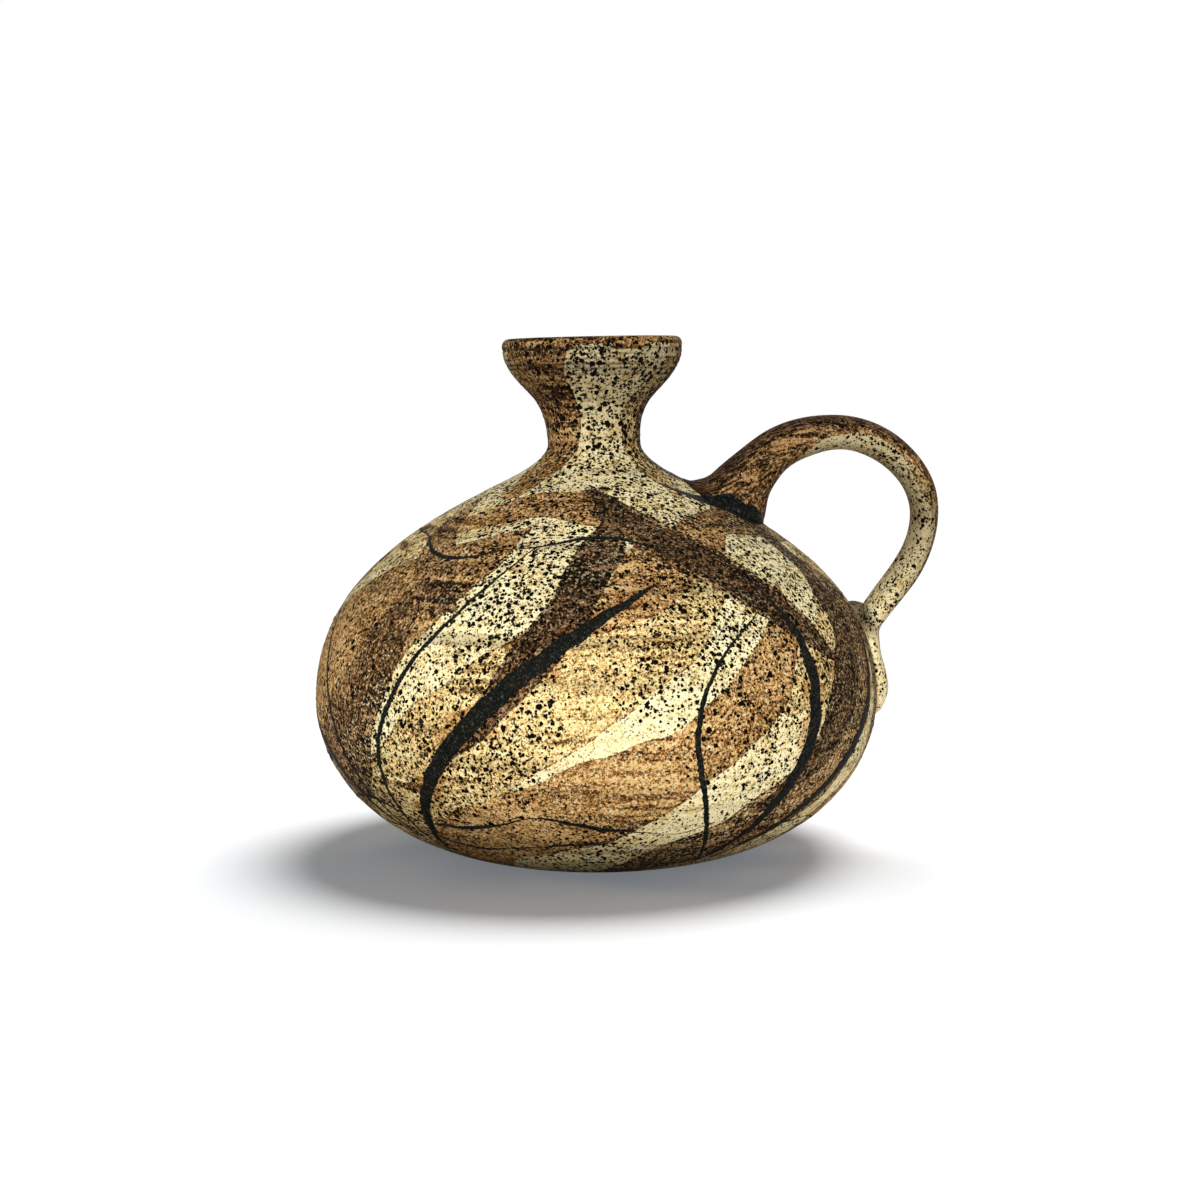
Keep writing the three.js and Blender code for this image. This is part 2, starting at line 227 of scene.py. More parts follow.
BROWN_BLADES = [
    [(-88, 4, 6), (-68, 30, 16), (-54, 62, 15), (-46, 94, 8), (-42, 118, 1)],
    [(4, 0, 6), (26, 14, 12), (50, 36, 14), (66, 68, 10), (74, 104, 2)],
    [(50, 122, 3), (68, 126, 13), (90, 126, 20), (112, 126, 13), (130, 122, 3)],
    # This blade runs down the left edge seen from the camera: a brown wash, which also darkens that edge as
    # painted shade
    [(-112, 20, 2), (-100, 44, 9), (-92, 70, 11), (-87, 96, 8), (-80, 116, 1)],
    [(-4, 136, 2), (12, 126, 8), (30, 112, 10), (46, 94, 7), (54, 80, 1)],
    [(-70, 134, 2), (-60, 123, 7), (-46, 110, 8), (-32, 97, 1)],
    [(96, 6, 5), (110, 34, 14), (122, 68, 15), (130, 98, 8), (134, 120, 1)],
    [(150, 2, 6), (174, 24, 15), (198, 54, 16), (210, 88, 9), (214, 116, 1)],
    [(220, 8, 4), (236, 36, 13), (250, 70, 14), (262, 98, 8), (272, 118, 1)],
    [(70, 112, 2), (77, 98, 6), (79, 78, 7), (78, 56, 6), (73, 36, 1)],
    [(84, 136, 6), (88, 156, 7), (94, 178, 13), (98, 196, 15)],
]
UMBER_BLADES = [
    [(-32, 44, 1), (-19, 66, 6), (-8, 92, 8), (2, 116, 6), (9, 133, 1)],
    [(36, 28, 1), (52, 52, 7), (62, 82, 8), (67, 110, 5), (70, 128, 1)],
    [(-3, 137, 1), (14, 125, 5), (32, 110, 7), (47, 92, 5), (55, 79, 1)],
    [(-128, 40, 1), (-114, 64, 7), (-102, 92, 8), (-92, 116, 4), (-86, 130, 1)],
    [(134, 20, 1), (150, 46, 7), (162, 80, 8), (170, 110, 5), (174, 130, 1)],
    [(206, 30, 1), (216, 56, 6), (226, 86, 7), (234, 114, 5), (238, 130, 1)],
]
BLADE_STEPS = 14
FAR = 12.0
LIP_WASH_RISE = 0.4  # of the tan wash on the lip, above its groove

# Smoke from the kiln, and painted shade where the light falls off, which grey the upper part of the vessel,
# most on the downward-facing cup: height, and how deep it lies
SMOKE_AND_SHADE = [
    (BELLY_HEIGHT + 40, 0.0),
    (NECK_ROOT_HEIGHT, 0.06),
    (WAIST_HEIGHT, 0.4),
    (CUP_ROOT_HEIGHT + 6, 0.74),
    (GROOVE_HEIGHT, 0.66),
    (RIM_HEIGHT, 0.42),
]

# The wash lies on the outer side of the strap: how many degrees round it reaches, along the strap
WASH_REACH = [(0, 190), (0.15, 190), (0.19, 138), (0.27, 92), (0.33, 80), (0.4, 74), (0.45, 88), (0.48, 62),
              (0.58, 38), (0.72, 24), (0.8, 16), (0.9, 6), (1, 6)]
# The umber caps the wash, in the same way
UMBER_REACH = [(0, 62), (0.16, 56), (0.26, 70), (0.38, 64), (0.46, 30), (0.54, -60), (1, -60)]
PALE_PATCHES = (9.0, 20.0)
TAN_BEYOND = 1.2  # the edge of the wash
# Painted shade on the strap, most on its inner side off the wash: along it, and the share of it that shows
# on the wash, before and after a span
HANDLE_SHADE = [(0, 0.7), (0.45, 0.75), (0.56, 0.9), (0.7, 0.5), (0.8, 0.1), (1, 0)]
SHADE_ON_WASH = ((0.25, 0.4), (0.6, 0.15))
WASH_FADE = (-1.0, 1.0)
# Painted shade, with some dirt, in the angles of the handle: where its foot meets the belly, and along its
# seams with the vessel
FOOT_SPAN = ((0.66, 0.74), (0.8, 0.85))
FOOT_SHADE_EDGE = (2.0, 8.0)
FOOT_SHADE_AND_DIRT = 0.45
HANDLE_SEAM_SHADE_EDGE = (0.3, 1.3)

# Spatter: where it lies thick or thin, as angle, height, reach and strength
SPATTER_CLUSTERS = [
    (16, 178, 24, 0.45),
    (10, 154, 22, 0.3),
    (40, 96, 30, 0.4),
    (-22, 108, 26, 0.4),
    (6, 126, 30, 0.3),
    (14, 30, 26, -0.25),
    (2, 56, 24, -0.3),
    (54, 38, 24, -0.3),
    (-62, 34, 24, 0.25),
    (-80, 90, 26, -0.2),
    (120, 100, 36, 0.3),
    (170, 50, 40, 0.25),
    (-130, 90, 36, 0.3),
    (200, 170, 26, 0.4),
]
SPATTER_GROUND = 0.52
SPATTER_PATCHES = (0.2, 16.0)
INSIDE_SPATTER = 0.2
HANDLE_SPATTER = 0.48
HANDLE_SPATTER_PATCHES = (0.22, 13.0)
FEWER_ON_ROOT = ((0.3, 0.45), (0.18, 0.0))
FEWER_ON_TAIL = ((0.78, 0.86), (0.0, 0.2))

# Blue-black brushwork: clumps of reeds over ripples, as angle, height and half width along each stroke
REEDS = [
    [(-44, 10, 0.5), (-36, 34, 2.4), (-22, 64, 3.3), (-4, 90, 2.6), (14, 106, 0.4)],
    [(-46, 12, 0.5), (-47, 40, 1.0), (-41, 72, 1.05), (-29, 100, 0.7), (-18, 117, 0.3)],
    [(-48, 12, 0.5), (-58, 38, 1.0), (-67, 66, 0.9), (-78, 88, 0.6), (-91, 98, 0.3)],
    [(-52, 16, 0.4), (-66, 36, 2.0), (-82, 52, 2.7), (-99, 58, 0.4)],
    [(30, 6, 0.5), (40, 30, 2.4), (46, 58, 3.2), (46, 84, 2.2), (41, 104, 0.4)],
    [(30, 8, 0.5), (22, 34, 1.0), (19, 60, 1.05), (25, 82, 0.6), (37, 96, 0.3)],
    [(34, 8, 0.5), (51, 26, 2.0), (64, 48, 2.8), (72, 70, 1.8), (76, 90, 0.4)],
    [(138, 8, 0.5), (146, 34, 2.4), (158, 64, 3.2), (174, 90, 2.4), (190, 106, 0.4)],
    [(136, 10, 0.5), (134, 40, 1.0), (138, 72, 1.05), (148, 100, 0.7), (158, 116, 0.3)],
    [(134, 14, 0.4), (120, 36, 2.0), (110, 60, 2.6), (106, 78, 0.4)],
    [(222, 8, 0.5), (230, 32, 2.2), (236, 60, 3.0), (236, 86, 2.0), (232, 104, 0.4)],
    [(220, 8, 0.5), (212, 36, 1.0), (208, 64, 1.05), (214, 90, 0.6), (224, 104, 0.3)],
]
BROAD_HALF = 1.5
BROAD_REEDS = [reed for reed in REEDS if max(half for _, _, half in reed) > BROAD_HALF]
# Ripples: first angle, last angle, middle height, rise of the waves, waves, half width
RIPPLES = [
    (-120, 26, 25.0, 3.0, 3.0, 0.85),
    (-64, 8, 16.0, 2.0, 1.5, 0.7),
    (40, 84, 19.0, 2.0, 1.0, 0.75),
    (112, 222, 27.0, 3.2, 2.5, 0.85),
    (146, 206, 18.0, 2.2, 1.5, 0.7),
    (-100, 34, 117.0, 3.5, 1.7, 0.85),
    (128, 250, 116.0, 3.5, 1.7, 0.85),
]
RIPPLE_POINTS = 6  # in each wave
RIPPLE_OVERTONE = (0.25, 2.3, 1.0)  # share of the rise, pace and shift
RIPPLE_SWELL = (0.75, 0.45, 1.7, 0.5)  # middle and reach of the half width, pace and shift
RIPPLE_TAPER = 6
RIPPLE_LEAST = 0.3
# Section of a stroke: place across its half width, lift by its thickness, and one for its sunk underside
STROKE_SECTION = [(-1, -0.1, 0), (-0.85, 0.7, 0), (-0.45, 0.95, 0), (0, 1, 0), (0.45, 0.95, 0),
                  (0.85, 0.7, 0), (1, -0.1, 0), (0.5, 0, 1), (-0.5, 0, 1)]
STROKE_LINE_STEPS = 40
STROKE_STEP = 0.4
STROKE_LEAST_STEPS = 6
STROKE_THICKNESS = 0.14
STROKE_SINK = 0.5
STROKE_LEAST_HALF = 0.15
STROKE_FULL_HALF = 1.2  # from which a stroke has its whole thickness
STROKE_LEAST_BODY = 0.35
STROKE_DRIFT = (0.35, 5.0)
STROKE_WAVER = (0.1, 3.2)
STROKE_FRAY = (0.2, 0.75)
STROKE_CAKING = (0.3, 2.0)
STROKE_SEED = 60
STROKE_SEEDS = 7  # from one stroke to the next
DROPLETS = 420
DROPLET_SEED = 8
DROPLET_LOWEST = 12
DROPLET_THINNING = 1.1
DROPLET_LEAST = 0.35
DROPLET_RANGE = 1.25
DROPLET_RARITY = 4  # of the larger ones
DROPLET_SIDES = 12
DROPLET_RAGGED = (0.72, 1.2)
DROPLET_STRETCH = (0.7, 1.3)
DROPLET_RINGS = [(1.0, -0.12), (0.82, 0.12), (0.45, 0.2)]  # share of the reach, and lift
DROPLET_LIFT = 0.22
DROPLET_SINK = 0.4


# Curves

def heading(angle):
    return np.array([math.cos(math.radians(angle)), math.sin(math.radians(angle))])


UPWARD = np.array([0.0, 1.0])


def spot(radius, height):
    return np.array([radius, height], float)


# A smooth curve between two points, each with a direction of travel and how far it pulls the curve
def bend(start, start_heading, start_pull, end, end_heading, end_pull):
    start_control = start + start_heading * start_pull
    end_control = end - end_heading * end_pull
    t = np.linspace(0, 1, CURVE_STEPS + 1)[:, None]
    early = start * (1 - t) ** 3 + 3 * start_control * t * (1 - t) ** 2
    late = 3 * end_control * t ** 2 * (1 - t) + end * t ** 3
    return early + late


def unit(rows):
    return rows / np.linalg.norm(rows, axis=1)[:, None]


def turns(count):
    return np.arange(count) * 2 * math.pi / count


def run_lengths(points):
    steps = np.linalg.norm(np.diff(points, axis=0), axis=1)
    return np.concatenate([[0.0], np.cumsum(steps)])


# Rows read off at the wanted places
def between(wanted, places, rows):
    return np.column_stack([np.interp(wanted, places, column) for column in rows.T])


# A value read off a list of places and values
def along(wanted, table):
    return np.interp(wanted, *np.array(table, float).T)


# Rows at even steps along a run, after the length at each of them
def even_rows(rows, lengths, spacing, least=1):
    count = max(least, round(lengths[-1] / spacing))
    wanted = np.linspace(0, lengths[-1], count + 1)
    return wanted, between(wanted, lengths, rows)


# A smooth run that passes through every control row
def smooth_line(controls, steps):
    rows = np.array(controls, float)
    first = 2 * rows[0] - rows[1]
    last = 2 * rows[-1] - rows[-2]
    padded = np.vstack([first, rows, last])
    t = np.linspace(0, 1, steps, endpoint=False)[:, None]
    runs = []
    for before, start, end, after in zip(padded, padded[1:], padded[2:], padded[3:]):
        slope = end - before
        bow = 2 * before - 5 * start + 4 * end - after
        twist = 3 * start - before - 3 * end + after
        runs.append(0.5 * (2 * start + slope * t + bow * t ** 2 + twist * t ** 3))
    return np.vstack(runs + [rows[-1:]])


# Smooth noise of about the given depth to both sides of zero, with lumps of the given size
def lumps(points, depth, size, seed):
    generator = np.random.default_rng(seed)
    total = np.zeros(len(points))
    for _ in range(LUMP_WAVES):
        direction = generator.normal(size=3)
        direction /= np.linalg.norm(direction)
        pace = generator.uniform(*LUMP_PACES) * math.pi / size
        total += np.sin(points @ direction * pace + generator.uniform(0, 2 * math.pi))
    return total / math.sqrt(2 * LUMP_WAVES) * depth


def smooth_step(values, low, high):
    share = np.clip((values - low) / (high - low), 0, 1)
    return share * share * (3 - 2 * share)


def smooth_fall(values, low, high):
    return 1 - smooth_step(values, low, high)


# From the first end to the last, over a span
def eased(values, span, ends):
    return ends[0] + (ends[1] - ends[0]) * smooth_step(values, *span)


# One between a start and an end, and nothing beyond them
def within(values, start, end):
    return smooth_step(values, *start) * smooth_fall(values, *end)


# Profile of the vessel

belly = spot(BELLY_RADIUS, BELLY_HEIGHT)
neck_root = spot(NECK_ROOT_RADIUS, NECK_ROOT_HEIGHT)
waist = spot(WAIST_RADIUS, WAIST_HEIGHT)
cup_root = spot(CUP_ROOT_RADIUS, CUP_ROOT_HEIGHT)
groove = spot(LIP_RADIUS - LIP_GROOVE_DEPTH, GROOVE_HEIGHT)
up_the_shoulder = heading(180 - SHOULDER_SLOPE)
up_the_cup = heading(CUP_SLOPE)

bowl_run = bend(spot(BASE_RADIUS, 0), heading(BASE_SLOPE), BASE_PULL, belly, UPWARD, BELLY_PULL_BELOW)
shoulder_run = bend(belly, UPWARD, BELLY_PULL_ABOVE, neck_root, up_the_shoulder, SHOULDER_PULL)
root_run = bend(neck_root, up_the_shoulder, NECK_ROOT_PULL, waist, UPWARD, WAIST_PULL)
collar_run = bend(waist, UPWARD, WAIST_PULL, cup_root, up_the_cup, CUP_ROOT_PULL)
cup_run = bend(cup_root, up_the_cup, CUP_ROOT_PULL, groove, UPWARD, CUP_PULL)

section_runs = [even_rows(run, run_lengths(run), spacing)[1] for run, spacing in (
    (bowl_run, BODY_ROW),
    (shoulder_run, BODY_ROW),
    (np.vstack([root_run, collar_run[1:]]), NECK_ROW),
    (cup_run, CUP_ROW),
)]
section_ends = np.concatenate([[0], np.cumsum([len(run) - 1 for run in section_runs])])
outer = np.vstack([section_runs[0]] + [run[1:] for run in section_runs[1:]])
outer_travel = unit(np.gradient(outer, axis=0))
outer_out = np.column_stack([outer_travel[:, 1], -outer_travel[:, 0]])
outer_lengths = run_lengths(outer)
inner = outer - outer_out * WALL


def radius_at(height):
    return np.interp(height, outer[:, 1], outer[:, 0])


def length_at(height):
    return np.interp(height, outer[:, 1], outer_lengths)


def round_axis(angles, radius, height):
    turn = np.radians(angles)
    return np.column_stack([radius * np.sin(turn), -radius * np.cos(turn), height])


def on_profile(angles, heights):
    return round_axis(angles, radius_at(heights), heights)


# The neck sways a little away from the handle, and the rim dips to that side
def leaned(points):
    shift = -SWAY * smooth_step(points[:, 2], NECK_ROOT_HEIGHT, CUP_ROOT_HEIGHT)
    share = smooth_step(points[:, 2], WAIST_HEIGHT, RIM_HEIGHT)
    rise = points[:, 0] * math.tan(math.radians(LEAN)) * share
    return points + np.column_stack([shift, np.zeros(len(points)), rise])


# How far the thrown face stands out from its smooth profile: its rings and grooves, and its wobble
def relief(points):
    rings = lumps(points * RING_STRETCH, *RINGS, seed=11)
    wobble = lumps(points, *WOBBLE, seed=12) * smooth_step(points[:, 2], 0, FLOOR_THICKNESS)
    grooves = np.zeros(len(points))
    for drop, depth, width in CUP_GROOVES:
        grooves += depth * np.exp(-((points[:, 2] - RIM_HEIGHT + drop) / width) ** 2)
    grooves *= GROOVE_STRENGTH + lumps(points * GROOVE_STRETCH, *GROOVE_PATCHES, seed=13)
    return rings - grooves, wobble


# Points on the thrown outer face, from angles and lengths up the profile, lifted off it
def on_face(angles, lengths, lift):
    radius, height = between(lengths, outer_lengths, outer).T
    out_across, out_up = between(lengths, outer_lengths, outer_out).T
    reach = sum(relief(round_axis(angles, radius, height))) + lift
    return leaned(round_axis(angles, radius + out_across * reach, height + out_up * reach))


# Meshes

def add_object(name, data):
    made = bpy.data.objects.new(name, data)
    bpy.context.scene.collection.objects.link(made)
    return made


def make_piece(name, points, faces, slot, material, attributes=None, sharp_rings=()):
    mesh = bpy.data.meshes.new(name)
    mesh.from_pydata((points * MM).tolist(), [], faces)
    mesh.shade_smooth()
    for label, values in (attributes or {}).items():
        layer = mesh.attributes.new(label, "FLOAT", "POINT")
        layer.data.foreach_set("value", np.asarray(values, np.float32))
    if len(sharp_rings):
        ends = np.zeros(len(mesh.edges) * 2, np.int32)
        mesh.edges.foreach_get("vertices", ends)
        rings = ends.reshape(-1, 2) // SEGMENTS
        sharp = (rings[:, 0] == rings[:, 1]) & np.isin(rings[:, 0], sharp_rings)
        layer = mesh.attributes.new("sharp_edge", "BOOLEAN", "EDGE")
        layer.data.foreach_set("value", sharp)
    mesh.materials.append(material)
    piece = add_object(name, mesh)
    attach(piece, "root")
    return piece


# Quads between rings of equal count, each ring after the one before it
def skin(ring_count, sides, closed=False):
    ring = np.arange(ring_count if closed else ring_count - 1)[:, None] * sides
    side = np.arange(sides)[None, :]
    beyond = (side + 1) % sides
    far = (ring + sides) % (ring_count * sides)
    quads = np.stack([ring + side, ring + beyond, far + beyond, far + side], axis=-1)
    return quads.reshape(-1, 4).tolist()


# The same with a flat face over the first ring and the last
def capped_skin(ring_count, sides):
    last = (ring_count - 1) * sides
    return skin(ring_count, sides) + [list(range(sides))[::-1], list(range(last, last + sides))]


# The same with triangles from the last ring and the first to two middle points, which follow the rings
def fanned_skin(ring_count, sides):
    side = np.arange(sides)
    beyond = (side + 1) % sides
    last = (ring_count - 1) * sides
    middle = np.full(sides, ring_count * sides)
    last_fan = np.column_stack([last + side, last + beyond, middle])
    first_fan = np.column_stack([beyond, side, middle + 1])
    return skin(ring_count, sides) + last_fan.tolist() + first_fan.tolist()


# Finish of the vessel: each layer is a value at every point

WASHES = ("pale_wash", "tan_wash", "brown_wash", "umber_wash", "slip_wash", "halo")
SHARES = ("spatter", "smoke", "hollow", "bare")


# Layers with no wash in them, and the given shares
def plain_finish(count, **given):
    values = dict.fromkeys(WASHES, -FAR) | dict.fromkeys(SHARES, 0.0) | given
    return {label: np.full(count, value) for label, value in values.items()}


# How deep points lie in blades of colour, below zero outside them
def blade_depth(points, blades):
    depth = np.full(len(points), -FAR)
    for blade in blades:
        angle, height, half = smooth_line(blade, BLADE_STEPS).T
        half = np.maximum(half, 0)
        middle = on_profile(angle, height)
        reach = half.max() + FAR
        inside = (points > middle.min(axis=0) - reach) & (points < middle.max(axis=0) + reach)
        near = np.flatnonzero(inside.all(axis=1))
        spots = points[near]
        best = depth[near]
        for start, end, start_half, end_half in zip(middle, middle[1:], half, half[1:]):
            step = end - start
            share = np.clip((spots - start) @ step / (step @ step), 0, 1)
            gap = np.linalg.norm(spots - start - share[:, None] * step, axis=1)
            best = np.maximum(best, start_half + (end_half - start_half) * share - gap)
        depth[near] = best
    return depth


def spatter_at(points):
    density = SPATTER_GROUND + lumps(points, *SPATTER_PATCHES, seed=31)
    for angle, height, reach, strength in SPATTER_CLUSTERS:
        gap = np.linalg.norm(points - on_profile(angle, height), axis=1)
        density += strength * np.exp(-(gap / reach) ** 2)
    return np.clip(density, 0, 1)


def vessel_finish(points, on_outside):
    on_lip = points[:, 2] - GROOVE_HEIGHT - LIP_WASH_RISE
    in_the_rings = np.clip(-relief(points)[0] / HOLLOW_DEPTH, 0, 1)
    outside = plain_finish(len(points)) | {
        "pale_wash": blade_depth(points, PALE_BLADES),
        "tan_wash": np.maximum(blade_depth(points, TAN_BLADES), on_lip),
        "brown_wash": blade_depth(points, BROWN_BLADES),
        "umber_wash": blade_depth(points, UMBER_BLADES),
        "slip_wash": smear_depth(points),
        "halo": blade_depth(points, BROAD_REEDS),
        "spatter": spatter_at(points),
        # Pigment in the rings, and painted shade with some dirt along the tail's seam
        "hollow": np.maximum(in_the_rings, tail_seam_shade(points)),
    }
    inside = plain_finish(len(points), spatter=INSIDE_SPATTER, bare=1.0)
    finish = {label: np.where(on_outside, outside[label], inside[label]) for label in outside}
    # Darker towards the top: kiln smoke, and painted shade where the light falls off
    finish["smoke"] = along(points[:, 2], SMOKE_AND_SHADE)
    return finish


# Vessel

# A profile turned about the axis: an outer run of the vessel's face, and the rest of the outline, of which
# the rings of the lip are on the outside too
def turned(name, first, last, rest, closed, sharp, material, lip_rings=0):
    outline = np.vstack([outer[first:last + 1], rest])
    out = np.vstack([outer_out[first:last + 1], np.zeros_like(rest)])
    angles = np.tile(np.arange(SEGMENTS) * 360 / SEGMENTS, len(outline))
    radius, height = np.repeat(outline, SEGMENTS, axis=0).T
    out_across, out_up = np.repeat(out, SEGMENTS, axis=0).T
    smooth = round_axis(angles, radius, height)
    reach = sum(relief(smooth))
    points = leaned(round_axis(angles, radius + out_across * reach, height + out_up * reach))
    ring = np.repeat(np.arange(len(outline)), SEGMENTS)
    attributes = vessel_finish(smooth, ring <= last - first + lip_rings)
    if closed:
        faces = skin(len(outline), SEGMENTS, closed=True)
    else:
        faces = fanned_skin(len(outline), SEGMENTS)
        points = np.vstack([points, [0, 0, outline[-1, 1]], [0, 0, outline[0, 1]]])
        middles = plain_finish(2, spatter=INSIDE_SPATTER, bare=1.0)
        attributes = {label: np.append(values, middles[label]) for label, values in attributes.items()}
    piece = make_piece(name, points, faces, "stoneware", material, attributes, sharp)
    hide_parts(name)


def arc(middle, start_angle, end_angle):
    angles = np.linspace(start_angle, end_angle, ROUNDING_STEPS + 1)
    return np.array([middle + LIP_ROUNDING * heading(angle) for angle in angles])


def lip_run():
    band = [spot(LIP_RADIUS - inset, GROOVE_HEIGHT + rise) for inset, rise in LIP_BAND_EDGE]
    level = RIM_HEIGHT - LIP_ROUNDING
    outside = arc(spot(LIP_RADIUS - LIP_ROUNDING, level), 0, 90)
    inside = arc(spot(inner[-1, 0] + LIP_ROUNDING, level), 90, 180)
    return np.vstack([band, outside, inside])


def build_vessel(material):
    bowl_end, shoulder_end, neck_end, cup_end = section_ends[1:]
    bowl_inside = inner[:bowl_end + 1][::-1]
    bowl_inside = bowl_inside[bowl_inside[:, 1] > FLOOR_THICKNESS]
    floor_edge = spot(np.interp(FLOOR_THICKNESS, inner[:, 1], inner[:, 0]), FLOOR_THICKNESS)
    rest = np.vstack([bowl_inside, [floor_edge * (share, 1) for share in FLOOR_RINGS]])
    turned("lower_body", 0, bowl_end, rest, False, [0, bowl_end, bowl_end + 1], material)
    for name, first, last in (("upper_body", bowl_end, shoulder_end), ("neck", shoulder_end, neck_end)):
        count = last - first
        rest = inner[first:last + 1][::-1]
        turned(name, first, last, rest, True, [0, count, count + 1, 2 * count + 1], material)
    lip = lip_run()
    rest = np.vstack([lip, inner[neck_end:cup_end + 1][::-1]])
    last_ring = cup_end - neck_end + len(rest)
    turned("mouth_cup", neck_end, cup_end, rest, True, [0, last_ring], material, len(lip))


# Handle

root_height = NECK_ROOT_HEIGHT - ROOT_DROP
root_on_shoulder = spot(radius_at(root_height), root_height)
foot_height = BELLY_HEIGHT + FOOT_RISE


def on_belly(drop):
    height = foot_height - drop
    return np.column_stack([radius_at(height), height])


# Middle line and section of the strap, from the root to the end of the tail
def strap_stations():
    up_the_root = heading(ROOT_ANGLE)
    in_the_limb = heading(180 + FOOT_ANGLE)
    outward = heading(0)
    start = root_on_shoulder - up_the_root * ROOT_SINK
    side = spot(BELLY_RADIUS + HANDLE_OVERHANG, NECK_ROOT_HEIGHT + CROWN_RISE - SIDE_DROP)
    crown = spot(side[0] - CROWN_INSET, NECK_ROOT_HEIGHT + CROWN_RISE)
    foot = spot(radius_at(foot_height) + FOOT_STANDOFF, foot_height)
    tuck, dent = on_belly(np.array(TAIL_DROPS[:2]))
    down_the_belly = (dent - tuck) / np.linalg.norm(dent - tuck)
    t = np.linspace(0, 1, CURVE_STEPS + 1)
    lines = [
        bend(start, up_the_root, ROOT_PULL + ROOT_SINK, crown, outward, CROWN_PULL_IN),
        bend(crown, outward, CROWN_PULL_OUT, side, -UPWARD, SIDE_PULL_ABOVE),
        bend(side, -UPWARD, SIDE_PULL_BELOW, foot, in_the_limb, FOOT_PULL),
        bend(foot, in_the_limb, TUCK_PULL, tuck, down_the_belly, TUCK_PULL),
    ]
    lines += [on_belly(high + (low - high) * t) for high, low in zip(TAIL_DROPS, TAIL_DROPS[1:])]
    rows = []
    for line, section, next_section in zip(lines, STRAP_SECTIONS, STRAP_SECTIONS[1:]):
        share = (1 - t[:, None]) ** (EVEN_TAPER if rows else ROOT_FLARE)
        sizes = next_section + (section - next_section) * share
        rows.append(np.hstack([line, sizes])[1 if rows else 0:])
    return np.vstack(rows)


# Even rows along the middle line, with the changes of section eased, after the length at each of them
def eased_stations():
    rows = strap_stations()
    lengths, even = even_rows(rows, run_lengths(rows[:, :2]), STRAP_ROW)
    weights = np.hanning(2 * EASED_ROWS + 1)
    weights /= weights.sum()
    padded = np.pad(even, ((EASED_ROWS, EASED_ROWS), (0, 0)), mode="reflect", reflect_type="odd")
    return lengths, np.column_stack([np.convolve(column, weights, "valid") for column in padded.T])


# Painted shade, with some dirt, in the angle between the belly and the edge of the tail: one there, and
# falling to nothing beside it
def tail_seam_shade(points):
    rows = eased_stations()[1]
    tail = rows[rows[:, 1] < foot_height - SEAM_TOP][::-1]
    beside = np.abs(points[:, 1]) - np.interp(points[:, 2], tail[:, 1], tail[:, 3]) / 2
    level = (points[:, 2] > tail[0, 1]) & (points[:, 2] < tail[-1, 1]) & (points[:, 0] > 0)
    return np.where(level, smooth_fall(np.abs(beside - SEAM_STANDOFF), *SEAM_EDGE), 0)


# Distance of points from the vessel's face, below zero inside it
def face_distance(points):
    across = np.hypot(points[:, 0], points[:, 1])
    gap = np.full(len(points), np.inf)
    for radius, height in outer[::2]:
        gap = np.minimum(gap, np.hypot(across - radius, points[:, 2] - height))
    return np.where(across < radius_at(points[:, 2]), -gap, gap)


# Direction out of the vessel's face, at the place on its profile level with each point
def face_normal(points):
    out_across, out_up = between(points[:, 2], outer[:, 1], outer_out).T
    across = np.hypot(points[:, 0], points[:, 1])
    return np.column_stack([points[:, 0] / across * out_across, points[:, 1] / across * out_across, out_up])


# Points from places in the plane of the handle's loop, and how far to the side of it they lie
def beside_loop(places, sideways):
    return np.column_stack([places[:, 0], sideways, places[:, 1]])


def build_handle(material):
    lengths, rows = eased_stations()
    count = len(rows)
    travel = unit(np.gradient(rows[:, :2], axis=0))
    closing = np.sqrt(np.clip((lengths[-1] - lengths) / TAIL_ROUNDING, TAIL_LEAST, 1))
    thickness, width = rows[:, 2:].T / 2 * closing
    angles = turns(STRAP_SIDES)
    over, beside = (
        np.sign(wave) * np.abs(wave) ** STRAP_SQUARENESS
        for wave in (np.cos(angles), np.sin(angles))
    )
    across = np.outer(thickness, over).ravel()
    sideways = np.outer(width, beside).ravel()
    middle = np.repeat(rows[:, :2], STRAP_SIDES, axis=0)
    left = np.repeat(np.column_stack([-travel[:, 1], travel[:, 0]]), STRAP_SIDES, axis=0)
    points = beside_loop(middle + left * across[:, None], sideways)
    tilt = unit(np.column_stack([(over / thickness[:, None]).ravel(), (beside / width[:, None]).ravel()]))
    out = beside_loop(left * tilt[:, :1], tilt[:, 1])
    station = np.repeat(lengths / lengths[-1], STRAP_SIDES)
    round_way = np.tile(angles, count)
    facing_out = np.tile(np.cos(angles), count)
    stand_off = face_distance(points)
    upper_side = smooth_fall(station, *ROOT_FILLET_FADE) * (1 + facing_out) / 2
    fillet = TAIL_FILLET + (ROOT_FILLET - TAIL_FILLET) * upper_side
    inset = fillet - np.clip(stand_off, 0, fillet)
    push = fillet - np.sqrt(np.clip(fillet ** 2 - inset ** 2, 0, None))
    push -= UNDERSIDE_SHAVE * within(station, *SHAVE_SPAN) * np.clip(-facing_out, 0, 1)
    push += lumps(np.column_stack([round_way, station, station]) * PULL_STRETCH, *PULL_MARKS, seed=21)
    push += lumps(points, *THUMB_MARKS, seed=22)
    points = points + out * (push * np.repeat(closing, STRAP_SIDES))[:, None]
    sunk = EDGE_SINK * smooth_fall(stand_off, 0, EDGE_SINK_REACH)
    points = points - face_normal(points) * sunk[:, None]
    faces = [face[::-1] for face in capped_skin(count, STRAP_SIDES)]
    girth = np.repeat(thickness + width, STRAP_SIDES)
    attributes = handle_finish(points, station, round_way, girth, stand_off)
    attributes |= {"strap_over": across, "strap_beside": sideways}
    piece = make_piece("handle", points, faces, "washed_stoneware", material, attributes)
    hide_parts("handle")


